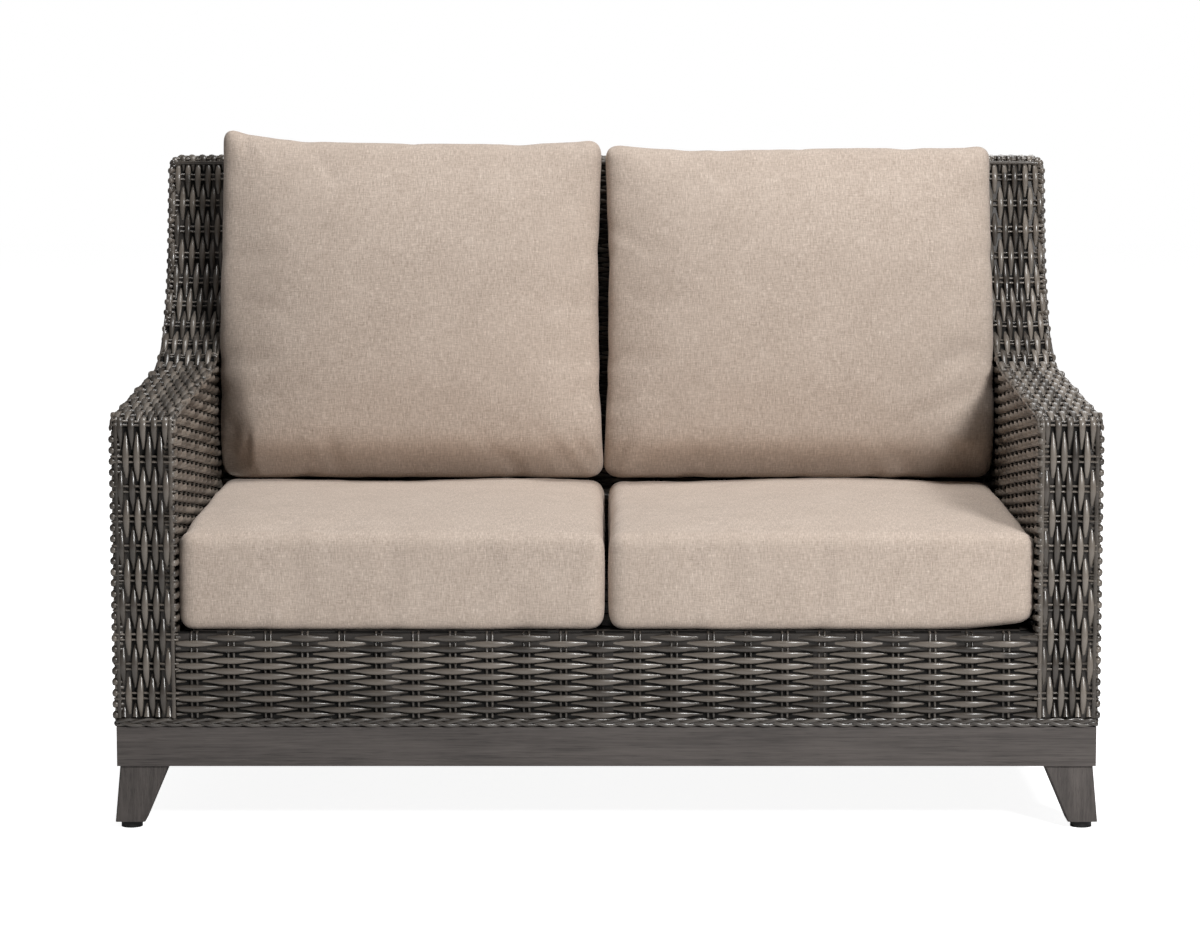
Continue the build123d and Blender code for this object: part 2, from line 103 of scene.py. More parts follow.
arm_low, arm_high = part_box("right_arm_weave")
apron_low, apron_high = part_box("front_apron_weave")
braid_low, braid_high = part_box("braid_front")
BACK_HEIGHT = arm_high.z + CROWN_RISE
WEAVE_BOTTOM = arm_low.z
FRONT = arm_low.y
HALF_WIDTH = arm_high.x
INNER = arm_low.x
DECK = apron_high.z
KNEE_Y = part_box("braid_back")[1].y
REAR = KNEE_Y + (BACK_HEIGHT - KNEE_HEIGHT) * LEAN
NOSE_DROP = 6 * MM
NOSE = ARM_HEIGHT - NOSE_DROP - WEAVE_BOTTOM

# Weave: pitches of rows, stakes and the ribbon's columns
ROW_PITCH = 8.05 * MM
ROW_WOBBLE = 0.35 * MM
STAKE_PITCH = 53.5 * MM
SIDE_STAKE_START = 12 * MM
APRON_STAKE_SHIFT = -9 * MM
RIBBON_STAKE_PITCH = 43.2 * MM
RIBBON_COLUMN_PITCH = 8.25 * MM
RIBBON_COLUMNS = 4
NOSE_SPAN = 54 * MM
STEPS = 6

# Weave: strand sizes, how far strands swing over and under the stakes, and their depths
STRAND_WIDTH = 9.6 * MM
STRAND_DEPTH = 4.4 * MM
STRAND_SIDES = 8
STAKE_RADIUS = 1.75 * MM
STAKE_SIDES = 6
STAKE_HALF_GAP = 4.0 * MM
WAVE = 4.4 * MM
RIBBON_WAVE = 5.2 * MM
INNER_WAVE = 6.6 * MM
ARM_TOP_WAVE = 1.4 * MM
ARM_TOP_CELLS = 16
SHEET_DEPTH = 4.9 * MM
INNER_SINK = 3.0 * MM
# Painted shade: depth, thickness and margin of the near-black sheets behind the strands, and how far the
# apron's sheet reaches back under the deck
SHADE_SHEET_DEPTH = 7.5 * MM
SHADE_SHEET_THICKNESS = 0.4 * MM
SHADE_SHEET_MARGIN = 6 * MM
LIP_REACH = 52 * MM
NARROW = 0.40
ROW_REACH = 0.62
INNER_REACH = 0.76
RIBBON_REACH = 0.68
ARM_TOP_REACH = 0.24

# Weave: edges and corners
TOP_MARGIN = 6 * MM
ROW_END_GAP = 3 * MM
ROW_START_GAP = 5 * MM
SHORTEST_ROW = 12 * MM
SIDE_STAKE_STEP = 12 * MM
BACK_STAKE_STEP = 15 * MM
BORDER_STEP = 9 * MM
BORDER_INSET = 8.6 * MM
RETURN_LENGTH = 15 * MM
CORNER_BEND = 4.5 * MM
CORNER_OVER = 1.6 * MM
CORNER_UNDER = -2.2 * MM

random.seed(7)


# Materials

CLOTH_THREADS = 2200.0


def group(name, inputs, outputs):
    """A node group with named sockets; returns the tree and its input and output nodes."""
    tree = bpy.data.node_groups.new(name, "ShaderNodeTree")
    kinds = {"f": "NodeSocketFloat", "c": "NodeSocketColor", "v": "NodeSocketVector"}
    for label, kind, default in inputs:
        socket = tree.interface.new_socket(label, in_out="INPUT", socket_type=kinds[kind])
        socket.default_value = default
    for label, kind in outputs:
        tree.interface.new_socket(label, in_out="OUTPUT", socket_type=kinds[kind])
    return tree, tree.nodes.new("NodeGroupInput"), tree.nodes.new("NodeGroupOutput")


def feed(tree, made, **links):
    """Set or link inputs of a node; a key is an input's name, or its number after an underscore."""
    for key, value in links.items():
        number = key[1:]
        socket = made.inputs[int(number) if number.isdigit() else key.replace("_", " ")]
        if isinstance(value, bpy.types.NodeSocket):
            tree.links.new(value, socket)
        else:
            socket.default_value = value
    return made


def node(tree, kind, settings=None, **links):
    """Add a node; settings are its properties, and links feed its inputs."""
    made = tree.nodes.new(kind)
    for key, value in (settings or {}).items():
        setattr(made, key, value)
    return feed(tree, made, **links)


def own_place(tree):
    """The piece's own Object coordinates."""
    return node(tree, "ShaderNodeTexCoord").outputs["Object"]


def math_node(tree, operation, a, b=0.0, c=0.0):
    """One Math node; returns its output."""
    return node(tree, "ShaderNodeMath", {"operation": operation}, _0=a, _1=b, _2=c).outputs[0]


def mix_colour(tree, share, a, b):
    """One colour Mix node; returns its output."""
    return node(tree, "ShaderNodeMix", {"data_type": "RGBA"}, _0=share, _6=a, _7=b).outputs[2]


def ramp(tree, value, low, high, low_out=0.0, high_out=1.0):
    """Map a value's range from low to high onto low_out to high_out, clamped."""
    made = node(tree, "ShaderNodeMapRange", None, _0=value, _1=low, _2=high, _3=low_out, _4=high_out)
    return made.outputs[0]


def noise(tree, vector, scale, detail=3.0, roughness=0.5, distortion=0.0):
    """One Noise texture; returns its factor."""
    return node(
        tree, "ShaderNodeTexNoise", None, Vector=vector, Scale=scale, Detail=detail,
        Roughness=roughness, Distortion=distortion,
    ).outputs[0]


def stretched(tree, vector, x, y, z):
    """A vector scaled along each axis, to stretch a texture."""
    return node(
        tree, "ShaderNodeVectorMath", {"operation": "MULTIPLY"}, _0=vector, _1=(x, y, z)
    ).outputs[0]


def make_grain_group():
    """Brushed timber grain along the group's first axis: a tone and a height."""
    inputs = [("Vector", "v", (0, 0, 0))]
    tree, inlet, outlet = group("timber_grain", inputs, [("Tone", "f"), ("Height", "f")])
    vector = inlet.outputs["Vector"]
    broad = noise(tree, stretched(tree, vector, 3, 55, 55), 1.0, 4.0, 0.6, 0.6)
    streak = noise(tree, stretched(tree, vector, 9, 330, 330), 1.0, 4.0, 0.65, 0.25)
    pore = noise(tree, stretched(tree, vector, 30, 1100, 1100), 1.0, 2.0, 0.5)
    scratch = ramp(tree, pore, 0.56, 0.70)
    tone = math_node(tree, "MULTIPLY_ADD", broad, 0.55, math_node(tree, "MULTIPLY", streak, 0.6))
    tone = math_node(tree, "MULTIPLY_ADD", scratch, -0.16, tone)
    height = math_node(tree, "MULTIPLY_ADD", scratch, -0.5, streak)
    feed(tree, outlet, Tone=tone, Height=height)
    return tree


def make_weather_group():
    """Large soft patches over a base colour, as weather and handling leave."""
    inputs = [
        ("Base", "c", (0.5, 0.5, 0.5, 1)),
        ("Worn", "c", (0.6, 0.6, 0.6, 1)),
        ("Amount", "f", 0.3),
        ("Scale", "f", 9.0),
    ]
    tree, inlet, outlet = group("weathering", inputs, [("Colour", "c")])
    given = inlet.outputs
    cloud = noise(tree, own_place(tree), given["Scale"], 4.0, 0.6, 0.3)
    mask = math_node(tree, "MULTIPLY", ramp(tree, cloud, 0.35, 0.75), given["Amount"])
    feed(tree, outlet, Colour=mix_colour(tree, mask, given["Base"], given["Worn"]))
    return tree


def make_cloth_group():
    """Linen-look cloth on the piece's own cloth coordinates: colour tone, thread height and slubs."""
    inputs = [("Vector", "v", (0, 0, 0)), ("Threads", "f", CLOTH_THREADS)]
    tree, inlet, outlet = group("linen", inputs, [("Tone", "f"), ("Height", "f"), ("Slub", "f")])
    vector, threads = inlet.outputs["Vector"], inlet.outputs["Threads"]
    parts = []
    for x, y, weight in ((0.46, 0.04, 0.90), (0.04, 0.46, 0.62), (0.20, 0.016, 0.38), (0.016, 0.20, 0.26)):
        parts.append((noise(tree, stretched(tree, vector, x, y, 0), threads, 2.0, 0.6), weight))
    parts.append((noise(tree, vector, 260.0, 3.0, 0.7), 0.42))
    parts.append((noise(tree, vector, 14.0, 3.0, 0.6), 0.22))
    tone = -0.5 * (sum(weight for _, weight in parts) - 1)
    for value, weight in parts:
        tone = math_node(tree, "MULTIPLY_ADD", value, weight, tone)
    height = math_node(tree, "ADD", parts[0][0], parts[1][0])
    along, across = ramp(tree, parts[2][0], 0.64, 0.78), ramp(tree, parts[3][0], 0.65, 0.80)
    feed(tree, outlet, Tone=tone, Height=height, Slub=math_node(tree, "MAXIMUM", along, across))
    return tree


grain_group = make_grain_group()
weather_group = make_weather_group()
cloth_group = make_cloth_group()


def surface(name, metallic=0.0, specular=0.5, coat=0.0, sheen=0.0):
    """A material with its Principled shader and the constants set on the shader's own sockets."""
    made = bpy.data.materials.new(name)
    made.use_nodes = True
    shader = made.node_tree.nodes["Principled BSDF"]
    feed(
        made.node_tree, shader, Metallic=metallic, Specular_IOR_Level=specular, Coat_Weight=coat,
        Sheen_Weight=sheen, Coat_Roughness=0.16,
    )
    return made, made.node_tree, shader


def placed(tree, made_group, **links):
    """Place a node group in a material; returns its outputs."""
    return node(tree, "ShaderNodeGroup", {"node_tree": made_group}, **links).outputs


def attribute(tree, name):
    """The outputs of an Attribute node that reads one of the piece's own attributes."""
    return node(tree, "ShaderNodeAttribute", {"attribute_name": name}).outputs


def bump(tree, shader, height, strength, distance):
    """Feed a height to a shader's normal."""
    made = node(tree, "ShaderNodeBump", None, Strength=strength, Distance=distance, Height=height)
    feed(tree, shader, Normal=made.outputs[0])


def weave_material(name, dark, light, glaze):
    """Grey-brown resin strand: each strand has its own tone, with fine lines along it."""
    made, tree, shader = surface(name, specular=0.55, coat=0.28)
    strand = attribute(tree, "strand")
    tone = node(tree, "ShaderNodeSeparateXYZ", None, Vector=strand["Vector"]).outputs
    lengthwise = stretched(tree, strand["Vector"], 9.0, 30.0, 0.55)
    streaks = noise(tree, lengthwise, 6.0, 3.0, 0.6)
    patch = noise(tree, own_place(tree), 21.0, 3.0, 0.6)
    mixed = math_node(tree, "MULTIPLY_ADD", tone[0], 0.50, math_node(tree, "MULTIPLY", streaks, 0.42))
    mixed = math_node(tree, "MULTIPLY_ADD", patch, 0.42, mixed)
    share = ramp(tree, mixed, 0.36, 1.05)
    colour = mix_colour(tree, share, dark, light)
    colour = mix_colour(tree, ramp(tree, tone[1], 0.80, 1.0, 0.0, 0.35), colour, glaze)
    feed(tree, shader, Base_Color=colour, Roughness=ramp(tree, streaks, 0.3, 0.7, 0.27, 0.42))
    bump(tree, shader, streaks, 0.25, 0.0006)
    return made


def timber_material(name, axis, dark, light):
    """Powder coat with a brushed timber grain along one of the piece's axes."""
    made, tree, shader = surface(name, specular=0.42)
    parts = node(tree, "ShaderNodeSeparateXYZ", None, Vector=own_place(tree)).outputs
    first, second, third = {"X": (0, 1, 2), "Y": (1, 0, 2), "Z": (2, 0, 1)}[axis]
    turned = node(tree, "ShaderNodeCombineXYZ", None, _0=parts[first], _1=parts[second], _2=parts[third])
    grain = placed(tree, grain_group, Vector=turned.outputs[0])
    colour = mix_colour(tree, ramp(tree, grain["Tone"], 0.33, 0.78), dark, light)
    faded = (*(min(1, channel * 1.35) for channel in light[:3]), 1)
    worn = placed(tree, weather_group, Base=colour, Worn=faded, Amount=0.28, Scale=7.0)
    rough = ramp(tree, grain["Tone"], 0.3, 0.8, 0.62, 0.46)
    feed(tree, shader, Base_Color=worn["Colour"], Roughness=rough)
    bump(tree, shader, grain["Height"], 0.35, 0.0006)
    return made


def cloth_material(name, deep, mid, pale):
    """Heathered linen cloth with slubs, on the piece's cloth coordinates."""
    made, tree, shader = surface(name, specular=0.25, sheen=0.12)
    linen = placed(tree, cloth_group, Vector=attribute(tree, "cloth")["Vector"], Threads=CLOTH_THREADS)
    low = mix_colour(tree, ramp(tree, linen["Tone"], 0.15, 0.50), deep, mid)
    colour = mix_colour(tree, ramp(tree, linen["Tone"], 0.50, 0.85), low, pale)
    colour = mix_colour(tree, math_node(tree, "MULTIPLY", linen["Slub"], 0.30), colour, pale)
    worn = placed(tree, weather_group, Base=colour, Worn=mid, Amount=0.25, Scale=5.0)
    feed(tree, shader, Base_Color=worn["Colour"], Roughness=0.92)
    bump(tree, shader, linen["Height"], 0.45, 0.0009)
    return made


def plain_material(name, dark, light, rough, scale, metallic=0.0):
    """A sprayed or moulded finish with a fine mottle and a slight orange peel."""
    made, tree, shader = surface(name, metallic=metallic)
    place = own_place(tree)
    mottle = noise(tree, place, scale, 4.0, 0.6)
    colour = mix_colour(tree, ramp(tree, mottle, 0.3, 0.7), dark, light)
    uneven = ramp(tree, mottle, 0.3, 0.7, rough - 0.06, rough + 0.06)
    feed(tree, shader, Base_Color=colour, Roughness=uneven)
    bump(tree, shader, noise(tree, place, scale * 12, 2.0), 0.2, 0.0003)
    return made


def webbing_material(name, dark, light):
    """Flat woven strap: slanting ribs and fine threads."""
    made, tree, shader = surface(name, specular=0.3, sheen=0.1)
    place = own_place(tree)
    ribs = node(
        tree, "ShaderNodeTexWave", {"wave_type": "BANDS", "bands_direction": "DIAGONAL"},
        Vector=place, Scale=210.0, Distortion=1.4, Detail=2.0,
    ).outputs["Fac"]
    weave = noise(tree, place, 900.0, 2.0, 0.5)
    tone = math_node(tree, "MULTIPLY_ADD", ribs, 0.6, math_node(tree, "MULTIPLY", weave, 0.4))
    feed(tree, shader, Base_Color=mix_colour(tree, tone, dark, light), Roughness=0.8)
    bump(tree, shader, tone, 0.5, 0.0008)
    return made


def opaque(red, green, blue):
    return red, green, blue, 1


RESIN_LIGHT = opaque(0.205, 0.175, 0.146)
RESIN_GLAZE = opaque(0.330, 0.290, 0.248)
# Darker resin for the stakes and the braid
DEEP_RESIN = opaque(0.024, 0.020, 0.017)
resin = weave_material("resin_strand", opaque(0.033, 0.027, 0.022), RESIN_LIGHT, RESIN_GLAZE)
braid_resin = weave_material("resin_braid", DEEP_RESIN, opaque(0.120, 0.105, 0.092), RESIN_GLAZE)
stake_resin = weave_material("resin_stake", DEEP_RESIN, opaque(0.105, 0.091, 0.078), RESIN_GLAZE)
TIMBER = (opaque(0.036, 0.031, 0.029), opaque(0.120, 0.104, 0.096))
band_along = timber_material("timber_coat_along", "X", *TIMBER)
band_side = timber_material("timber_coat_side", "Y", *TIMBER)
leg_coat = timber_material("timber_coat_leg", "Z", *TIMBER)
webbing = webbing_material("strap_webbing", opaque(0.010, 0.009, 0.009), opaque(0.055, 0.051, 0.047))
# Painted shade: near-black colour for the sheets that stand in for the dark inside of the weave
shade = plain_material("inner_shade", opaque(0.004, 0.0035, 0.003), opaque(0.008, 0.007, 0.006), 0.9, 30.0)
tube_coat = plain_material(
    "brown_powder_coat", opaque(0.020, 0.016, 0.013), opaque(0.040, 0.033, 0.028), 0.48, 60.0
)
zinc = plain_material("zinc_steel", opaque(0.42, 0.42, 0.41), opaque(0.60, 0.60, 0.58), 0.34, 90.0, 1.0)
nylon = plain_material("black_nylon", opaque(0.006, 0.006, 0.006), opaque(0.018, 0.018, 0.017), 0.5, 120.0)
linen_cloth = cloth_material(
    "linen_cloth", opaque(0.342, 0.275, 0.226), opaque(0.532, 0.436, 0.364), opaque(0.756, 0.652, 0.571)
)


def meshed(name, made):
    """Turn a bmesh into a mesh."""
    mesh = bpy.data.meshes.new(name)
    made.to_mesh(mesh)
    made.free()
    return mesh


def linked(name, data):
    """A new object for a mesh, curve, lamp or camera, put in the scene."""
    made = bpy.data.objects.new(name, data)
    bpy.context.scene.collection.objects.link(made)
    return made


# Frame pieces that keep their shape: the first entry that starts a node's name gives its material

COATS = (
    ("base_rail_front", band_along),
    ("base_rail_back", band_along),
    ("base_rail", band_side),
    ("leg_bolts", zinc),
    ("leg_corner_plates", tube_coat),
    ("leg_", leg_coat),
    ("seat_straps", webbing),
    ("glide_pad", nylon),
    ("glide_", zinc),
    ("", tube_coat),
)
for name, piece in frame["nodes"].items():
    piece.data.materials.clear()
    piece.data.materials.append(next(coat for start, coat in COATS if name.startswith(start)))


# Weave: strands are curves with a flat profile, then made meshes


def profile_curve(name, wide, tall, sides):
    """A closed strand section: a flattened round, widest in the middle."""
    curve = bpy.data.curves.new(name, "CURVE")
    curve.dimensions = "2D"
    spline = curve.splines.new("POLY")
    spline.points.add(sides - 1)
    for i, point in enumerate(spline.points):
        angle = 2 * math.pi * i / sides
        point.co = (wide / 2 * math.cos(angle), tall / 2 * math.sin(angle), 0, 1)
    spline.use_cyclic_u = True
    return linked(name, curve)


tall_section = profile_curve("tall_section", STRAND_DEPTH, STRAND_WIDTH, STRAND_SIDES)
wide_section = profile_curve("wide_section", STRAND_WIDTH, STRAND_DEPTH, STRAND_SIDES)
round_section = profile_curve("round_section", 2 * STAKE_RADIUS, 2 * STAKE_RADIUS, STAKE_SIDES)


class Strands:
    """Strands gathered on one curve, made into one mesh piece with a tone for each strand."""

    def __init__(self, name, section):
        self.name = name
        self.sides = len(section.data.splines[0].points)
        self.curve = bpy.data.curves.new(name, "CURVE")
        self.curve.dimensions = "3D"
        self.curve.twist_mode = "MINIMUM"
        self.curve.bevel_mode = "OBJECT"
        self.curve.bevel_object = section
        self.curve.use_fill_caps = True
        self.runs = []

    def add(self, points, radii=None):
        """One strand through the points, each with its own share of the full width."""
        if len(points) < 2:
            return
        points = shouldered(points)
        spline = self.curve.splines.new("POLY")
        spline.points.add(len(points) - 1)
        flat = np.ones((len(points), 4), np.float32)
        flat[:, :3] = points
        spline.points.foreach_set("co", flat.ravel())
        if radii is not None:
            spline.points.foreach_set("radius", np.array(radii, np.float32))
        steps = np.linalg.norm(np.diff(points, axis=0), axis=1)
        self.runs.append(np.concatenate(([0.0], np.cumsum(steps))))

    def finish(self, material, slot_name, *replaced):
        """Turn the strands into one mesh that rides on the frame."""
        holder = linked(self.name + "_curve", self.curve)
        bpy.context.view_layer.update()
        graph = bpy.context.evaluated_depsgraph_get()
        mesh = bpy.data.meshes.new_from_object(holder.evaluated_get(graph))
        bpy.data.objects.remove(holder)
        mesh.name = self.name
        self.paint(mesh)
        mesh.materials.clear()
        mesh.materials.append(material)
        mesh.polygons.foreach_set("use_smooth", [True] * len(mesh.polygons))
        piece = linked(self.name, mesh)
        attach(piece, "frame")
        if replaced:
            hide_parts(*replaced)

    def paint(self, mesh):
        """Write each vertex's strand tones and its place along the strand."""
        values = np.zeros((len(mesh.vertices), 3), np.float32)
        start = 0
        for run in self.runs:
            count = len(run) * self.sides
            end = start + count + 2 * self.sides
            values[start:end, :2] = (random.random(), random.random())
            values[start:start + count, 2] = np.repeat(run, self.sides)
            start = end
        layer = mesh.attributes.new("strand", "FLOAT_VECTOR", "POINT")
        layer.data.foreach_set("vector", values.ravel())


def rounded(points, radii, step=4 * MM):
    """Points along a polyline in (y, z) whose corners are rounded, no further apart than a step."""
    route = [Vector(points[0])]
    for before, corner, after, radius in zip(points, points[1:], points[2:], radii):
        before, corner, after = Vector(before), Vector(corner), Vector(after)
        one, two = (before - corner).normalized(), (after - corner).normalized()
        half = one.angle(two) / 2
        reach = radius / math.tan(half)
        centre = corner + (one + two).normalized() * radius / math.sin(half)
        start, end = corner + one * reach - centre, corner + two * reach - centre
        turn = start.angle_signed(end)
        count = max(2, math.ceil(abs(turn) * radius / step))
        for i in range(count + 1):
            route.append(centre + Matrix.Rotation(-turn * i / count, 2) @ start)
    route.append(Vector(points[-1]))
    return route


class Route:
    """A line in (y, z) that can be asked for its place and outward normal at a distance along it."""

    def __init__(self, points):
        self.points = np.array([tuple(p) for p in points], float)
        steps = np.linalg.norm(np.diff(self.points, axis=0), axis=1)
        self.along = np.concatenate(([0.0], np.cumsum(steps)))
        self.length = self.along[-1]
        tangents = np.gradient(self.points, self.along, axis=0)
        tangents /= np.linalg.norm(tangents, axis=1)[:, None]
        self.normals = np.stack((-tangents[:, 1], tangents[:, 0]), axis=1)

    def at(self, distance, lift):
        """Points at distances along the route, lifted outwards."""
        place = [np.interp(distance, self.along, self.points[:, k]) for k in (0, 1)]
        normal = [np.interp(distance, self.along, self.normals[:, k]) for k in (0, 1)]
        return place[0] + normal[0] * lift, place[1] + normal[1] * lift


def back_face_y(height):
    """The y of the back's raked front face at a height."""
    return REAR - BACK_DEPTH - (BACK_HEIGHT - height) * LEAN


# The arm's top line meets the back's raked front face at the elbow
ELBOW_Z = (ARM_HEIGHT + (back_face_y(0) - FRONT) * ARM_RISE) / (1 - LEAN * ARM_RISE)
INNER_TOP = ELBOW_Z + 30 * MM
WING_FOOT = ELBOW_Z + 60 * MM
ribbon_corners = [
    (FRONT, WEAVE_BOTTOM), (FRONT, ARM_HEIGHT), (back_face_y(ELBOW_Z), ELBOW_Z),
    (back_face_y(BACK_HEIGHT), BACK_HEIGHT), (REAR, BACK_HEIGHT),
]
ribbon_route = Route(rounded(ribbon_corners, (NOSE_RADIUS, SWEEP_RADIUS, TOP_RADIUS)))
back_corners = [
    (KNEE_Y, WEAVE_BOTTOM), (KNEE_Y, KNEE_HEIGHT), (REAR, BACK_HEIGHT),
    (back_face_y(BACK_HEIGHT), BACK_HEIGHT), (back_face_y(DECK), DECK),
]
back_route = Route(rounded(back_corners, (KNEE_RADIUS, TOP_RADIUS, TOP_RADIUS)))
back_route.normals *= -1
top_point = np.argmax(back_route.points[:, 1] >= BACK_HEIGHT - 1 * MM)
rear_outline = back_route.points[:top_point + 1]


def smooth_step(value):
    """Ease from 0 to 1."""
    value = np.clip(value, 0, 1)
    return value * value * (3 - 2 * value)


def lens(phase, reach):
    """Share of the full width along a strand: full on a crown, narrow where it dives."""
    away = np.abs((phase / math.pi + 1) % 2 - 1)
    return np.maximum(NARROW, np.clip(1 - (away / reach) ** 2, 0, 1) ** 0.6)


def shouldered(points):
    """Bend points that lie in the square top corner onto the corner's round."""
    points = np.array(points, float)
    corner = np.array((HALF_WIDTH, BACK_HEIGHT)) - SHOULDER_RADIUS
    past = np.stack((np.abs(points[:, 0]), points[:, 2]), axis=1) - corner
    both = (past > 0).all(axis=1)
    share = past[both].max(axis=1) / np.linalg.norm(past[both], axis=1)
    bent = corner + past[both] * share[:, None]
    points[both, 0] = np.sign(points[both, 0]) * bent[:, 0]
    points[both, 2] = bent[:, 1]
    return points


def phased(low, high, origin, pitch):
    """Sample places from low to high, several to each pitch, with both ends among them."""
    first = math.ceil((low - origin) / pitch * STEPS)
    last = math.floor((high - origin) / pitch * STEPS)
    places = [origin + i * pitch / STEPS for i in range(first, last + 1)]
    margin = pitch / STEPS / 3
    places = [p for p in places if low + margin < p < high - margin]
    return np.array([low] + places + [high])


def ribbon_place(cells):
    """Distance up the ribbon of a stake count, which is 0 at the nose; the span below it is longer."""
    below = NOSE - NOSE_SPAN + (cells + 1) * RIBBON_STAKE_PITCH
    span = np.where(cells > 0, RIBBON_STAKE_PITCH, NOSE_SPAN)
    return np.where(cells < -1, below, NOSE + cells * span)


# Stake ends that rise at the ribbon's edges: how far inside the edge, and how high
STAKE_HOOK = ((1.5 * MM, -3.4 * MM), (5 * MM, -1.0 * MM), (8.6 * MM, 0.5 * MM), (12 * MM, -2.0 * MM))


def ribbon(side, hand):
    """The band of strands that runs up the arm's front, along its top and up the wing."""
    strands = Strands(f"ribbon_strands_{hand}", wide_section)
    middle = side * (HALF_WIDTH + INNER) / 2
    half = (HALF_WIDTH - INNER) / 2
    foot = -1 - (NOSE - NOSE_SPAN) / RIBBON_STAKE_PITCH
    head = (ribbon_route.length - NOSE) / RIBBON_STAKE_PITCH
    columns = [
        (k, k * RIBBON_COLUMN_PITCH, 0.0, foot + 0.03) for k in range(-RIBBON_COLUMNS, RIBBON_COLUMNS + 1)
    ]
    edge_offset = half - BORDER_INSET + 1 * MM
    columns += [(s * (RIBBON_COLUMNS + 1), s * edge_offset, 0.3 * MM, 0.1) for s in (-1, 1)]
    for k, offset, drop, start in columns:
        cells = phased(start, head, 0.0, 1.0)
        along = ribbon_place(cells)
        phase = math.pi * (cells + k)
        on_top = smooth_step(cells - 0.3) * smooth_step((ARM_TOP_CELLS - cells) / 2)
        lift = (RIBBON_WAVE + ARM_TOP_WAVE * on_top) * np.cos(phase) - SHEET_DEPTH - drop
        y, z = ribbon_route.at(along, lift)
        drift = random.uniform(-0.5, 0.5) * MM + 0.35 * MM * np.sin(along * 31 + k)
        reach = RIBBON_REACH + ARM_TOP_REACH * on_top
        strands.add(np.stack((middle + offset + drift, y, z), axis=1), lens(phase, reach))
    strands.finish(resin, "weave")
    borders = Strands(f"ribbon_borders_{hand}", wide_section)
    for edge in (-1, 1):
        for inset, drop, start, end, width in (
            (BORDER_INSET, 0.2 * MM, foot, 0.3, 0.66),
            (2.6 * MM, 3.0 * MM, -0.2, head, 0.42),
        ):
            cells = np.arange(start, end, 0.15)
            along = ribbon_place(cells)
            y, z = ribbon_route.at(along, -drop + 0.5 * MM * np.cos(2 * math.pi * cells))
            x = middle + edge * (half - inset) + 0.3 * MM * np.sin(along * 55)
            borders.add(np.stack((x, y, z), axis=1), np.full(len(along), width))
    borders.finish(resin, "weave")
    stakes = Strands(f"ribbon_stakes_{hand}", round_section)
    run = [(inset - half, lift) for inset, lift in STAKE_HOOK]
    run += [(0, -SHEET_DEPTH)] + [(half - inset, lift) for inset, lift in STAKE_HOOK[::-1]]
    for k in range(math.ceil(foot), int(head) + 1):
        for gap in (-STAKE_HALF_GAP, STAKE_HALF_GAP):
            distance = float(ribbon_place(np.array(k))) + gap
            stakes.add([(middle + x, *ribbon_route.at(distance, lift)) for x, lift in run])
    stakes.finish(resin, "weave")


def side_limits(z):
    """Front and rear y of the side outline at a height."""
    front = FRONT
    if z > ARM_HEIGHT - NOSE_RADIUS:
        heights = ribbon_route.points[:, 1]
        crossing = np.argmax(heights >= z)
        span = slice(crossing - 1, crossing + 1)
        front = np.interp(z, heights[span], ribbon_route.points[span, 0])
    return front, np.interp(z, rear_outline[:, 1], rear_outline[:, 0])


def side_panel(side, hand, outer):
    """Rows and stakes across an arm's outer or inner side; rows turn round its upright front edge."""
    face = "outer" if outer else "inner"
    out = side if outer else -side
    plane = side * (HALF_WIDTH if outer else INNER + INNER_SINK)
    wave = WAVE if outer else INNER_WAVE
    low = WEAVE_BOTTOM if outer else DECK
    top = (BACK_HEIGHT if outer else INNER_TOP) - TOP_MARGIN
    strands = Strands(f"{face}_rows_{hand}", tall_section)
    z = low + ROW_PITCH / 2
    row = 0
    while z < top:
        front, rear = side_limits(z)
        spread = (rear - FRONT) / (KNEE_Y - FRONT)
        if not outer:
            rear = min(rear, back_face_y(z) + 4 * MM)
        wraps = z < ARM_HEIGHT - NOSE_RADIUS or z > WING_FOOT
        start = front + (CORNER_BEND if wraps else ROW_START_GAP)
        end = rear - ROW_END_GAP
        if end - start > SHORTEST_ROW:
            first, last = (start - FRONT) / spread, (end - FRONT) / spread
            cells = phased(first, last, SIDE_STAKE_START, STAKE_PITCH)
            y = FRONT + cells * spread
            phase = math.pi * ((cells - SIDE_STAKE_START) / STAKE_PITCH + row)
            lift = wave * np.cos(phase) - SHEET_DEPTH
            height = z + random.uniform(-ROW_WOBBLE, ROW_WOBBLE)
            points = np.stack((plane + out * lift, y, np.full(len(y), height)), axis=1)
            radii = lens(phase, ROW_REACH if outer else INNER_REACH)
            if wraps:
                points, radii = wrap_front(points, radii, plane, out, front, height, row)
            strands.add(points, radii)
        z += ROW_PITCH
        row += 1
    strands.finish(resin, "weave", *([f"{hand}_arm_weave"] if outer else []))
    stakes = Strands(f"{face}_stakes_{hand}", round_section)
    for cell in np.arange(SIDE_STAKE_START, KNEE_Y - FRONT, STAKE_PITCH):
        for gap in (-STAKE_HALF_GAP, STAKE_HALF_GAP):
            points = []
            for height in np.arange(low, top, SIDE_STAKE_STEP):
                front, rear = side_limits(height)
                y = FRONT + (cell + gap) * (rear - FRONT) / (KNEE_Y - FRONT)
                if not outer:
                    rear = back_face_y(height)
                if front + 4 * MM < y < rear - 2 * MM:
                    points.append((plane - out * SHEET_DEPTH, y, height))
            stakes.add(points)
    stakes.finish(stake_resin, "weave")


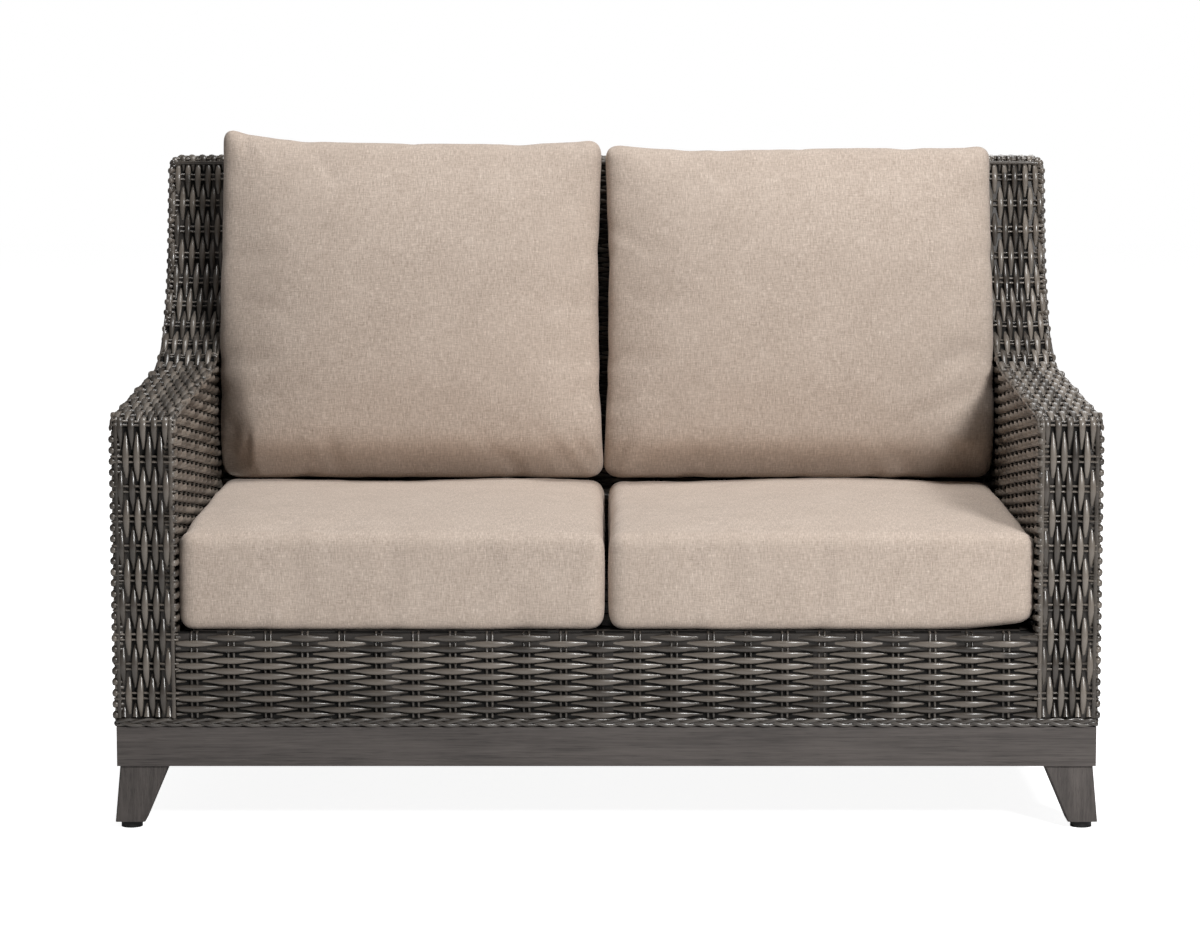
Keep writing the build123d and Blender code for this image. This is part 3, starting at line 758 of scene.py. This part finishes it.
def wrap_front(points, radii, plane, out, front, z, row):
    """Lead a row round the upright front edge and tuck its end behind the border strand."""
    lift = CORNER_UNDER if row % 2 else CORNER_OVER
    bend = CORNER_BEND + lift - CORNER_OVER
    lead = [
        (plane - out * RETURN_LENGTH, front + 6.0 * MM, z),
        (plane - out * (CORNER_BEND + 5 * MM), front + 4.8 * MM, z),
        (plane - out * (CORNER_BEND + 2.2 * MM), front + 2.4 * MM - 0.4 * lift, z),
    ]
    for share in (1.0, 0.66, 0.33, 0.0):
        angle = share * math.pi / 2
        x = plane - out * (CORNER_BEND - bend * math.cos(angle))
        lead.append((x, front + CORNER_BEND - bend * math.sin(angle), z))
    widths = (0.45, 0.5, 0.72, 0.9, 0.98, 0.98, 0.9)
    keep = points[:, 1] > front + CORNER_BEND + 3 * MM
    return np.concatenate((lead, points[keep])), np.concatenate((widths, radii[keep]))


def apron_panel():
    """Rows under the seat's front edge, and stakes that turn back over the front rail."""
    strands = Strands("apron_rows", tall_section)
    reach = INNER + 5 * MM
    for row in range(int((apron_high.z - apron_low.z) / ROW_PITCH)):
        z = apron_low.z + (row + 0.5) * ROW_PITCH
        x = phased(-reach, reach, APRON_STAKE_SHIFT, STAKE_PITCH)
        phase = math.pi * ((x - APRON_STAKE_SHIFT) / STAKE_PITCH + row)
        wobble = 0.5 * MM * np.sin(x * 9 + row) + random.uniform(-0.3, 0.3) * MM
        y = FRONT + SHEET_DEPTH - WAVE * np.cos(phase)
        strands.add(np.stack((x, y, z + wobble), axis=1), lens(phase, ROW_REACH))
    strands.finish(resin, "weave", "front_apron_weave")
    stakes = Strands("apron_stakes", round_section)
    count = int((reach - abs(APRON_STAKE_SHIFT)) / STAKE_PITCH)
    y = FRONT + SHEET_DEPTH
    z = apron_high.z - STAKE_RADIUS
    bend = 3 * MM
    for k in range(-count, count + 1):
        for gap in (-STAKE_HALF_GAP, STAKE_HALF_GAP):
            x = APRON_STAKE_SHIFT + k * STAKE_PITCH + gap
            stakes.add([(x, y, apron_low.z), (x, y, z - bend), (x, y + bend, z), (x, apron_high.y, z)])
    stakes.finish(stake_resin, "weave")


def back_panel():
    """Rows across the rear, over the top and down behind the cushions, with stakes and borders."""
    top_start = back_route.along[top_point]
    rear_rows = Strands("back_rows_rear", tall_section)
    front_rows = Strands("back_rows_front", tall_section)
    for row in range(int(back_route.length / ROW_PITCH)):
        along = (row + 0.5) * ROW_PITCH
        rear = along < top_start - 4 * MM
        reach = HALF_WIDTH - 2 * MM if rear else INNER + 2 * MM
        x = phased(-reach, reach, STAKE_PITCH / 2, STAKE_PITCH)
        phase = math.pi * (x / STAKE_PITCH - 0.5 + row)
        y, z = back_route.at(np.full(len(x), along), WAVE * np.cos(phase) - SHEET_DEPTH)
        target = rear_rows if rear else front_rows
        target.add(np.stack((x, y, z), axis=1), lens(phase, ROW_REACH))
    rear_rows.finish(resin, "weave", "back_weave")
    front_rows.finish(resin, "weave")
    stakes = Strands("back_stakes", round_section)
    along = np.concatenate((np.arange(0.0, back_route.length, BACK_STAKE_STEP), [back_route.length]))
    y, z = back_route.at(along, -SHEET_DEPTH)
    count = int(HALF_WIDTH / STAKE_PITCH)
    for k in range(-count, count):
        for gap in (-STAKE_HALF_GAP, STAKE_HALF_GAP):
            x = (k + 0.5) * STAKE_PITCH + gap
            keep = along < top_start if abs(x) > INNER - 3 * MM else along >= 0
            stakes.add(np.stack((np.full(keep.sum(), x), y[keep], z[keep]), axis=1))
    stakes.finish(stake_resin, "weave")
    borders = Strands("back_borders", tall_section)
    x = np.arange(-HALF_WIDTH + 3 * MM, HALF_WIDTH - 2 * MM, BORDER_STEP)
    for distance in (top_start - 2 * MM, top_start + BACK_DEPTH - 6 * MM):
        y, z = back_route.at(np.full(len(x), distance), -1.9 * MM + 0.4 * MM * np.sin(x * 59))
        borders.add(np.stack((x, y, z), axis=1), np.full(len(x), 0.62))
    borders.finish(resin, "weave")


BRAID_LENGTH = 86 * MM
BRAID_CORNER = 9 * MM
BRAID_STEPS = 24


def braid_ring():
    """A flat braid of three strands round the foot of the weave."""
    section = profile_curve("braid_section", 3.1 * MM, 5.6 * MM, STRAND_SIDES)
    strands = Strands("braid_strands", section)
    middle = (braid_low.z + braid_high.z) / 2
    corners = [(HALF_WIDTH, FRONT), (HALF_WIDTH, KNEE_Y), (-HALF_WIDTH, KNEE_Y), (-HALF_WIDTH, FRONT)]
    start = (0, FRONT)
    ring = Route(rounded([start, *corners, start], [BRAID_CORNER] * 4, 3 * MM))
    ring.normals *= -1
    turns = round(ring.length / BRAID_LENGTH)
    along = np.linspace(0, ring.length, turns * BRAID_STEPS + 1)
    for k in range(3):
        phase = 2 * math.pi * (along / ring.length * turns + k / 3)
        x, y = ring.at(along, 1.9 * MM * np.sin(2 * phase) - 2.9 * MM)
        strands.add(np.stack((x, y, middle + 4.1 * MM * np.sin(phase)), axis=1))
    strands.finish(braid_resin, "braid", "braid_front", "braid_back", "braid_left", "braid_right")


# Painted shade: near-black sheets behind the strands, standing in for the dark inside of the weave


def shade_sheet(name, layers):
    """A thin closed sheet of painted shade; each of its two layers is given by its two long edges."""
    made = bmesh.new()
    upper, under = [[[made.verts.new(point) for point in edge] for edge in layer] for layer in layers]
    for a, b in ((upper[0], upper[1]), (under[1], under[0]), (upper[1], under[1]), (under[0], upper[0])):
        for i in range(len(a) - 1):
            made.faces.new((a[i], a[i + 1], b[i + 1], b[i]))
    for i in (0, -1):
        made.faces.new((upper[0][i], upper[1][i], under[1][i], under[0][i]))
    bmesh.ops.recalc_face_normals(made, faces=made.faces)
    mesh = meshed(name, made)
    mesh.materials.append(shade)
    piece = linked(name, mesh)
    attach(piece, "frame")


def route_shade_sheet(name, outline, sink, low_x, high_x):
    """A painted-shade sheet bent along a route from one side to the other, a depth inside it."""
    layers = []
    for depth in (sink, sink + SHADE_SHEET_THICKNESS):
        y, z = outline.at(outline.along, -depth)
        layers.append([[(x, a, b) for a, b in zip(y, z)] for x in (low_x, high_x)])
    shade_sheet(name, layers)


def side_shade_sheet(name, plane, out, low, inner):
    """The painted-shade sheet behind the rows of one side of an arm."""
    front, rear = [], []
    for z in np.arange(low, BACK_HEIGHT - TOP_MARGIN, SHADE_SHEET_STEP):
        start, end = side_limits(z)
        if inner:
            end = min(end, back_face_y(z))
        if end - start > NARROWEST_SHADE_SHEET:
            front.append((start + SHADE_SHEET_MARGIN, z))
            rear.append((end - SHADE_SHEET_MARGIN, z))
    layers = []
    for depth in (SHADE_SHEET_DEPTH, SHADE_SHEET_DEPTH + SHADE_SHEET_THICKNESS):
        x = plane - out * depth
        layers.append([[(x, y, z) for y, z in edge] for edge in (front, rear)])
    shade_sheet(name, layers)


SHADE_SHEET_FOOT = braid_low.z + 0.5 * MM
SHADE_SHEET_STEP = 9 * MM
NARROWEST_SHADE_SHEET = 14 * MM
FULL_WIDTH = (SHADE_SHEET_MARGIN - HALF_WIDTH, HALF_WIDTH - SHADE_SHEET_MARGIN)
for side, hand in ((-1, "left"), (1, "right")):
    edges = sorted((side * (INNER + SHADE_SHEET_MARGIN), side * (HALF_WIDTH - SHADE_SHEET_MARGIN)))
    route_shade_sheet(f"ribbon_liner_{hand}", ribbon_route, SHADE_SHEET_DEPTH, *edges)
    side_shade_sheet(f"outer_liner_{hand}", side * HALF_WIDTH, side, SHADE_SHEET_FOOT, False)
    side_shade_sheet(f"inner_liner_{hand}", side * (INNER + INNER_SINK), -side, DECK, True)
    ribbon(side, hand)
    for outer in (True, False):
        side_panel(side, hand, outer)
apron_panel()
back_panel()
route_shade_sheet("back_liner", back_route, SHADE_SHEET_DEPTH, -INNER, INNER)
rear_route = Route(back_route.points[:np.argmax(back_route.points[:, 1] >= BACK_HEIGHT - 8 * MM)])
rear_route.normals *= -1
route_shade_sheet("rear_liner", rear_route, SHADE_SHEET_DEPTH, *FULL_WIDTH)
# The apron's sheet runs back under the deck as a lip: painted shade that hides the floor below the deck
lip_z = DECK - 3 * MM + SHADE_SHEET_DEPTH
apron_corners = [(FRONT, SHADE_SHEET_FOOT), (FRONT, lip_z), (apron_high.y + LIP_REACH, lip_z)]
route_shade_sheet("apron_liner", Route(rounded(apron_corners, (10 * MM,))), SHADE_SHEET_DEPTH, *FULL_WIDTH)
foot_route = Route([(KNEE_Y, SHADE_SHEET_FOOT), (KNEE_Y, WEAVE_BOTTOM + 20 * MM)])
route_shade_sheet("foot_liner", foot_route, -SHADE_SHEET_DEPTH, *FULL_WIDTH)
braid_ring()


# Cushions

CELL = 10 * MM
CORNER = 24 * MM
SEAT_EDGE = 22 * MM
SEAT_BOXING = 145 * MM
SEAT_CROWN = 16 * MM
BACK_EDGE = 20 * MM
BACK_BOXING = 118 * MM
BACK_CROWN = 52 * MM
BACK_LENGTH = 530 * MM
BACK_FOOT_Z = DECK + 146 * MM
BACK_FOOT_Y = back_face_y(BACK_FOOT_Z) - 0.5 * MM
BACK_FOOT_SLOPE = math.tan(math.radians(7.5))
OUTLINE_SHARE = 0.2
SEAT_FLAT_SHARE = 0.10
BACK_FLAT_SHARE = 0.08
PUCKER_DEPTH = 1.3 * MM
PUCKER_PITCH = 46 * MM
CLOTH_FRAMES = 20
CLOTH = {
    "quality": 7, "mass": 0.35, "bending_stiffness": 0.35, "tension_stiffness": 18,
    "compression_stiffness": 18, "shear_stiffness": 7, "tension_damping": 12,
    "compression_damping": 12, "shear_damping": 12, "air_damping": 2,
    "shrink_min": -0.035, "use_pressure": True, "uniform_pressure_force": 4.0,
}


def rounded_block(name, size, edge_radius):
    """A closed block of even quads round the origin, with round corners and edges."""
    half = np.array(size) / 2
    made = bmesh.new()
    bmesh.ops.create_cube(made, size=1.0)
    bmesh.ops.scale(made, vec=size, verts=made.verts)
    for axis in range(3):
        edges = [e for e in made.edges if abs((e.verts[0].co - e.verts[1].co)[axis]) > size[axis] * 0.9]
        bmesh.ops.subdivide_edges(made, edges=edges, cuts=round(size[axis] / CELL), use_grid_fill=True)
    bmesh.ops.recalc_face_normals(made, faces=made.faces)
    threads = made.loops.layers.uv.new("cloth")
    for face in made.faces:
        flat, upright = abs(face.normal.z) > 0.5, abs(face.normal.x) > 0.5
        across, up = (0, 1) if flat else (1, 2) if upright else (0, 2)
        for loop in face.loops:
            loop[threads].uv = (loop.vert.co[across] + 1.0, loop.vert.co[up] + 1.0)
    for vert in made.verts:
        point = np.array(vert.co)
        inner = np.clip(point[:2], CORNER - half[:2], half[:2] - CORNER)
        out = point[:2] - inner
        reach = np.max(np.abs(out))
        out /= max(np.linalg.norm(out), 1e-9)
        side = reach - (CORNER - edge_radius)
        rise = abs(point[2]) - (half[2] - edge_radius)
        if side > 0 and rise > 0:
            shrink = max(side, rise) / math.hypot(side, rise)
            reach = CORNER - edge_radius + side * shrink
            point[2] = math.copysign(half[2] - edge_radius + rise * shrink, point[2])
        vert.co = (*(inner + out * reach), point[2])
    return meshed(name, made)


def points_of(mesh):
    """A mesh's vertices as rows of numbers."""
    flat = np.empty(len(mesh.vertices) * 3, np.float32)
    mesh.vertices.foreach_get("co", flat)
    return flat.reshape(-1, 3).astype(float)


def swollen(piece):
    """The piece's points after its cover is blown up as cloth, from a slightly loose cut."""
    modifier = piece.modifiers.new("swell", "CLOTH")
    for key, value in CLOTH.items():
        setattr(modifier.settings, key, value)
    modifier.settings.effector_weights.gravity = 0
    modifier.point_cache.frame_start = 1
    modifier.point_cache.frame_end = CLOTH_FRAMES
    scene = bpy.context.scene
    for moment in range(1, CLOTH_FRAMES + 1):
        scene.frame_set(moment)
    graph = bpy.context.evaluated_depsgraph_get()
    result = bpy.data.meshes.new_from_object(piece.evaluated_get(graph))
    points = points_of(result)
    bpy.data.meshes.remove(result)
    piece.modifiers.remove(modifier)
    scene.frame_set(1)
    return points


def crease(points, start, end, width, depth):
    """Height change of a fold along a line across the face: a furrow with a low ridge beside it."""
    start, end = np.array(start), np.array(end)
    line = end - start
    along = np.clip(((points[:, :2] - start) @ line) / (line @ line), 0, 1)
    away = np.linalg.norm(points[:, :2] - start - along[:, None] * line, axis=1)
    fade = np.sin(math.pi * np.clip(along, 0.02, 0.98)) ** 0.6
    ridge = np.exp(-((away - 1.5 * width) / width) ** 2) * 0.45
    return (ridge - np.exp(-((away / width) ** 2))) * depth * fade


def pucker(points, half, seed):
    """Small gathers square to the seams, strongest at the edge and at the corners."""
    waves = random.Random(seed)
    gaps = half[:2] - np.abs(points[:, :2])
    place = np.where(gaps[:, 0] < gaps[:, 1], points[:, 1], points[:, 0])
    ripple = np.zeros(len(points))
    for _ in range(6):
        length = PUCKER_PITCH * waves.uniform(0.7, 1.9)
        ripple += np.sin(place * 2 * math.pi / length + waves.uniform(0, 6.3))
    corner = np.exp(-np.linalg.norm(gaps, axis=1) / (110 * MM))
    fade = np.exp(-np.clip(gaps.min(axis=1), 0, None) / (26 * MM))
    return ripple / 3 * PUCKER_DEPTH * (0.45 + 1.6 * corner) * fade


def restore_outline(rest, shape, half):
    """Undo the shrinking of the outline that swelling causes, and keep its small waves."""
    for axis, other in ((0, 1), (1, 0)):
        for sign in (-1, 1):
            rim = (sign * rest[:, axis] > half[axis] - 1 * MM) & (np.abs(rest[:, 2]) < half[2] * 0.7)
            place, shift = rest[rim, other], (shape - rest)[rim, axis]
            knots = np.linspace(-half[other], half[other], 9)
            means = [shift[np.abs(place - k) < half[other] / 7].mean() for k in knots]
            inner = sign * rest[:, axis] > 0
            share = smooth_step(sign * rest[inner, axis] / half[axis])
            shape[inner, axis] -= share * np.interp(rest[inner, other], knots, means)


def cushion(kind, hand, size, crown, flat_share, edge_radius, laid, details):
    """A padded piece: cut as a block, swollen as cloth, given its folds and laid in place."""
    name, cad_node = f"{kind}_pad_{hand}", f"{kind}_cushion_{hand}"
    mesh = rounded_block(name, size, edge_radius)
    piece = linked(name, mesh)
    rest = points_of(mesh)
    half = np.array(size) / 2
    shape = rest.copy()
    share = smooth_step(rest[:, 2] / size[2] + 0.5)
    dome = np.clip(1 - np.abs(rest[:, :2] / half[:2]) ** 2.6, 0, 1).prod(axis=1)
    moved = swollen(piece) - rest
    top = rest[:, 2] > half[2] * 0.98
    lift = crown / max(np.percentile(moved[top, 2], 97), 1 * MM)
    shape[:, :2] += moved[:, :2] * OUTLINE_SHARE
    swell = moved[:, 2] * (flat_share + (0.5 * lift - flat_share) * share)
    shape[:, 2] += swell + 0.5 * share * dome ** 0.85 * crown
    restore_outline(rest, shape, half)
    shape[:, 2] += pucker(rest, half, name) * share
    details(hand, rest, shape, half, share)
    shape[:, 2] += half[2]
    low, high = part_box(cad_node)
    world = laid(shape, low, high)
    settle(world, low, high)
    mesh.vertices.foreach_set("co", world.ravel().astype(np.float32))
    mesh.polygons.foreach_set("use_smooth", [True] * len(mesh.polygons))
    mesh.materials.append(linen_cloth)
    mesh.update()
    fine = piece.modifiers.new("fine", "SUBSURF")
    fine.levels = 1
    fine.render_levels = 1
    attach(piece, cad_node)
    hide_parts(cad_node, f"{kind}_core_{hand}")


def settle(world, low, high):
    """Keep the cloth within a few millimetres of the solid cushion's box, and looser at the top."""
    sideways = (10, 3) if abs(low.x) < abs(high.x) else (3, 0.3)
    for axis, (below, above) in enumerate((sideways, (6, 3), (0, 15))):
        world[:, axis] = np.clip(world[:, axis], low[axis] - below * MM, high[axis] + above * MM)


def rim_shift(rest, half, axis, sign, amount):
    """Move one side of the outline outwards, fading to nothing at the middle of the cushion."""
    return sign * smooth_step(sign * rest[:, axis] / half[axis]) * amount


def bow(values):
    """1 in the middle of a side, 0 at its ends."""
    return 1 - np.clip(np.abs(values), 0, 1) ** 2


def press(rest, shape, share, folds):
    """Press folds into the face; each is its start, end, width and depth."""
    for start, end, width, depth in folds:
        shape[:, 2] += share * crease(rest, start, end, width, depth)


def seat_details(hand, rest, shape, half, share):
    """A seat cushion's bowed sides, worn hollows and lower front edge."""
    outer = -1 if hand == "left" else 1
    across, along = rest[:, 0] / half[0], rest[:, 1] / half[1]
    shape[:, 0] += rim_shift(rest, half, 0, -outer, -2.5 * MM * bow(along))
    bulge = 2 * MM * bow(along) + 3 * MM * smooth_step(-along - 0.2)
    shape[:, 0] += rim_shift(rest, half, 0, outer, bulge)
    shape[:, 1] += rim_shift(rest, half, 1, -1, 3 * MM * bow(across) * (1 - share) - 2 * MM * share)
    press(rest, shape, share, (
        ((-0.10, -half[1] + 0.01), (-0.02, -half[1] + 0.20), 26 * MM, 1.6 * MM),
        ((0.17, half[1] - 0.30), (0.24, half[1] - 0.02), 30 * MM, 2.0 * MM),
        ((outer * 0.24, -0.28), (outer * 0.29, -0.05), 26 * MM, 1.8 * MM),
    ))
    front = smooth_step((-along - 0.5) / 0.5)
    shape[:, 2] -= share * front * 4 * MM
    shape[:, 2] += share * 2.5 * MM * np.sin(across * 4.1 + outer) * (1 - front)
    if hand == "right":
        corner = smooth_step((across - 0.6) / 0.4) * smooth_step((-along - 0.7) / 0.3)
        shape[:, 2] += (1 - share) * corner * 12 * MM


def back_details(hand, rest, shape, half, share):
    """A back cushion's drawn-up corners, bowed sides, rolled foot and folds."""
    left = hand == "left"
    outer = -1 if left else 1
    across, up = rest[:, 0] / half[0], rest[:, 1] / half[1]
    shape[:, 0] += rim_shift(rest, half, 0, -outer, -9 * MM * bow(up * 0.95 - 0.1))
    if not left:
        shape[:, 0] += rim_shift(rest, half, 0, -1, 9.5 * MM)
    shape[:, 0] += rim_shift(rest, half, 0, outer, 3 * MM * bow(up + 0.35))
    from_left, from_right = half[0] + rest[:, 0], half[0] - rest[:, 0]
    if left:
        rise = 22 * np.exp(-from_left / 0.095) + 9 * np.exp(-from_left / 0.02)
        rise += 8 * np.exp(-from_right / 0.05) - 3
    else:
        rise = 8 * np.exp(-from_left / 0.05) + 10 * np.exp(-from_right / 0.03)
        rise += 2 * np.sin(rest[:, 0] * 13) - 11
    shape[:, 1] += rise * MM * smooth_step((up - 0.3) / 0.7)
    foot_roll = 14 * smooth_step((-up - 0.62) / 0.38) + 36 * smooth_step((-up - 0.74) / 0.26)
    turned = smooth_step((-across - 0.84) / 0.16) * smooth_step((-up + 0.1) / 0.6)
    shape[:, 2] -= share * (foot_roll + turned * (13 if left else 8)) * MM
    if left:
        facing = smooth_step((rest[:, 2] - half[2] + 42 * MM) / (42 * MM))
        wedge = smooth_step((-0.3 - up) / 0.65) * smooth_step((-across - 0.70) / 0.30)
        shape[:, 0] += facing * wedge * 28 * MM
    edge, foot, head = half[0], -half[1], half[1]
    if left:
        folds = (
            ((-edge + 0.046, 0.20), (-edge + 0.066, -0.10), 26 * MM, 0.8 * MM),
            ((-edge + 0.036, head), (-edge + 0.046, head - 0.05), 7 * MM, 3.0 * MM),
            ((edge - 0.008, foot + 0.012), (edge - 0.055, foot + 0.075), 9 * MM, 5.5 * MM),
            ((edge - 0.03, foot + 0.01), (edge - 0.12, foot + 0.09), 13 * MM, 3.0 * MM),
            ((-edge + 0.010, foot + 0.012), (-edge + 0.045, foot + 0.080), 9 * MM, 6.0 * MM),
            ((-edge + 0.01, foot + 0.09), (-edge + 0.10, foot + 0.15), 15 * MM, 2.4 * MM),
            ((-edge + 0.20, foot - 0.01), (-edge + 0.17, foot + 0.07), 14 * MM, 2.4 * MM),
        )
    else:
        folds = (
            ((edge - 0.02, -0.05), (edge - 0.14, -0.12), 14 * MM, 2.0 * MM),
            ((edge - 0.02, -0.12), (edge - 0.17, -0.18), 13 * MM, 2.4 * MM),
            ((edge - 0.008, foot + 0.012), (edge - 0.10, foot + 0.07), 10 * MM, 4.6 * MM),
            ((-edge + 0.008, foot + 0.012), (-edge + 0.05, foot + 0.08), 9 * MM, 5.0 * MM),
            ((-edge + 0.02, foot + 0.02), (-edge + 0.12, foot + 0.11), 14 * MM, 2.4 * MM),
        )
    press(rest, shape, share, folds)


def lay_seat(points, low, high):
    """Lay a cushion flat on the deck."""
    return points + np.array(((low.x + high.x) / 2, (low.y + high.y) / 2, low.z))


def lay_back(points, low, high):
    """Lay a cushion against the raked back, with its lower edge following the seat."""
    across, along, out = points.T
    up = along + BACK_LENGTH / 2
    up -= BACK_FOOT_SLOPE * out * (1 - up / BACK_LENGTH)
    tilt = math.hypot(1, LEAN)
    y = BACK_FOOT_Y + (LEAN * up - out) / tilt
    z = BACK_FOOT_Z + (up + LEAN * out) / tilt
    return np.stack(((low.x + high.x) / 2 + across, y, z), axis=1)


for hand in ("left", "right"):
    low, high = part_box(f"seat_cushion_{hand}")
    size = (high.x - low.x, high.y - low.y, SEAT_BOXING)
    cushion("seat", hand, size, SEAT_CROWN, SEAT_FLAT_SHARE, SEAT_EDGE, lay_seat, seat_details)
    low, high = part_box(f"back_cushion_{hand}")
    size = (high.x - low.x, BACK_LENGTH, BACK_BOXING)
    cushion("back", hand, size, BACK_CROWN, BACK_FLAT_SHARE, BACK_EDGE, lay_back, back_details)


# Studio: lamps by name, power, size and place
LAMPS = (
    ("key", 152, 0.9, (2.1, -3.6, 2.8)),
    ("fill", 4, 3.2, (-3.2, -4.2, 2.2)),
    ("top", 122, 1.9, (0.2, 0.3, 4.8)),
    ("rear", 34, 2.4, (1.2, 3.9, 2.6)),
)
LAMP_TARGET = Vector((0, 0, 0.4))
CAMERA_PLACE = (0, -5.777, 1.1675)
CAMERA_DIP = math.radians(6.9)
LENS_LENGTH = 112.2
LENS_SHIFT = 0.0054


def stage():
    """White floor and backdrop, plain soft lamps and the photograph's camera."""
    white, tree, shader = surface("studio_white", specular=0.0)
    seen = node(tree, "ShaderNodeLightPath").outputs["Is Camera Ray"]
    feed(
        tree, shader, Base_Color=(0.8, 0.8, 0.8, 1), Roughness=0.9, Emission_Color=(1, 1, 1, 1),
        Emission_Strength=ramp(tree, seen, 0.0, 1.0, 0.0, 0.92),
    )
    made = bmesh.new()
    bmesh.ops.create_grid(made, x_segments=1, y_segments=1, size=14)
    mesh = meshed("studio_floor", made)
    mesh.materials.append(white)
    linked("studio_floor", mesh)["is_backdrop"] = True
    world = bpy.data.worlds.new("studio")
    world.use_nodes = True
    bpy.context.scene.world = world
    tree = world.node_tree
    path = node(tree, "ShaderNodeLightPath").outputs
    seen = math_node(tree, "MAXIMUM", path["Is Camera Ray"], path["Is Transmission Ray"])
    strength = ramp(tree, seen, 0.0, 1.0, 0.085, 1.0)
    feed(tree, tree.nodes["Background"], Color=(1, 1, 1, 1), Strength=strength)
    for name, power, size, place in LAMPS:
        lamp = bpy.data.lights.new(name, "AREA")
        lamp.energy = power
        lamp.size = size
        holder = linked(name, lamp)
        holder.location = place
        holder.rotation_euler = (LAMP_TARGET - Vector(place)).to_track_quat("-Z", "Y").to_euler()
    camera = bpy.data.cameras.new("photo_camera")
    camera.lens = LENS_LENGTH
    camera.sensor_width = 36
    camera.shift_x, camera.shift_y = -LENS_SHIFT, LENS_SHIFT
    eye = linked("photo_camera", camera)
    eye.location = CAMERA_PLACE
    eye.rotation_euler = (math.pi / 2 - CAMERA_DIP, 0, 0)
    bpy.context.scene.camera = eye


stage()
bpy.context.scene.view_settings.view_transform = "Standard"
for section in [o for o in bpy.data.objects if o.name.endswith("_section")]:
    bpy.data.objects.remove(section)

low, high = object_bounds()
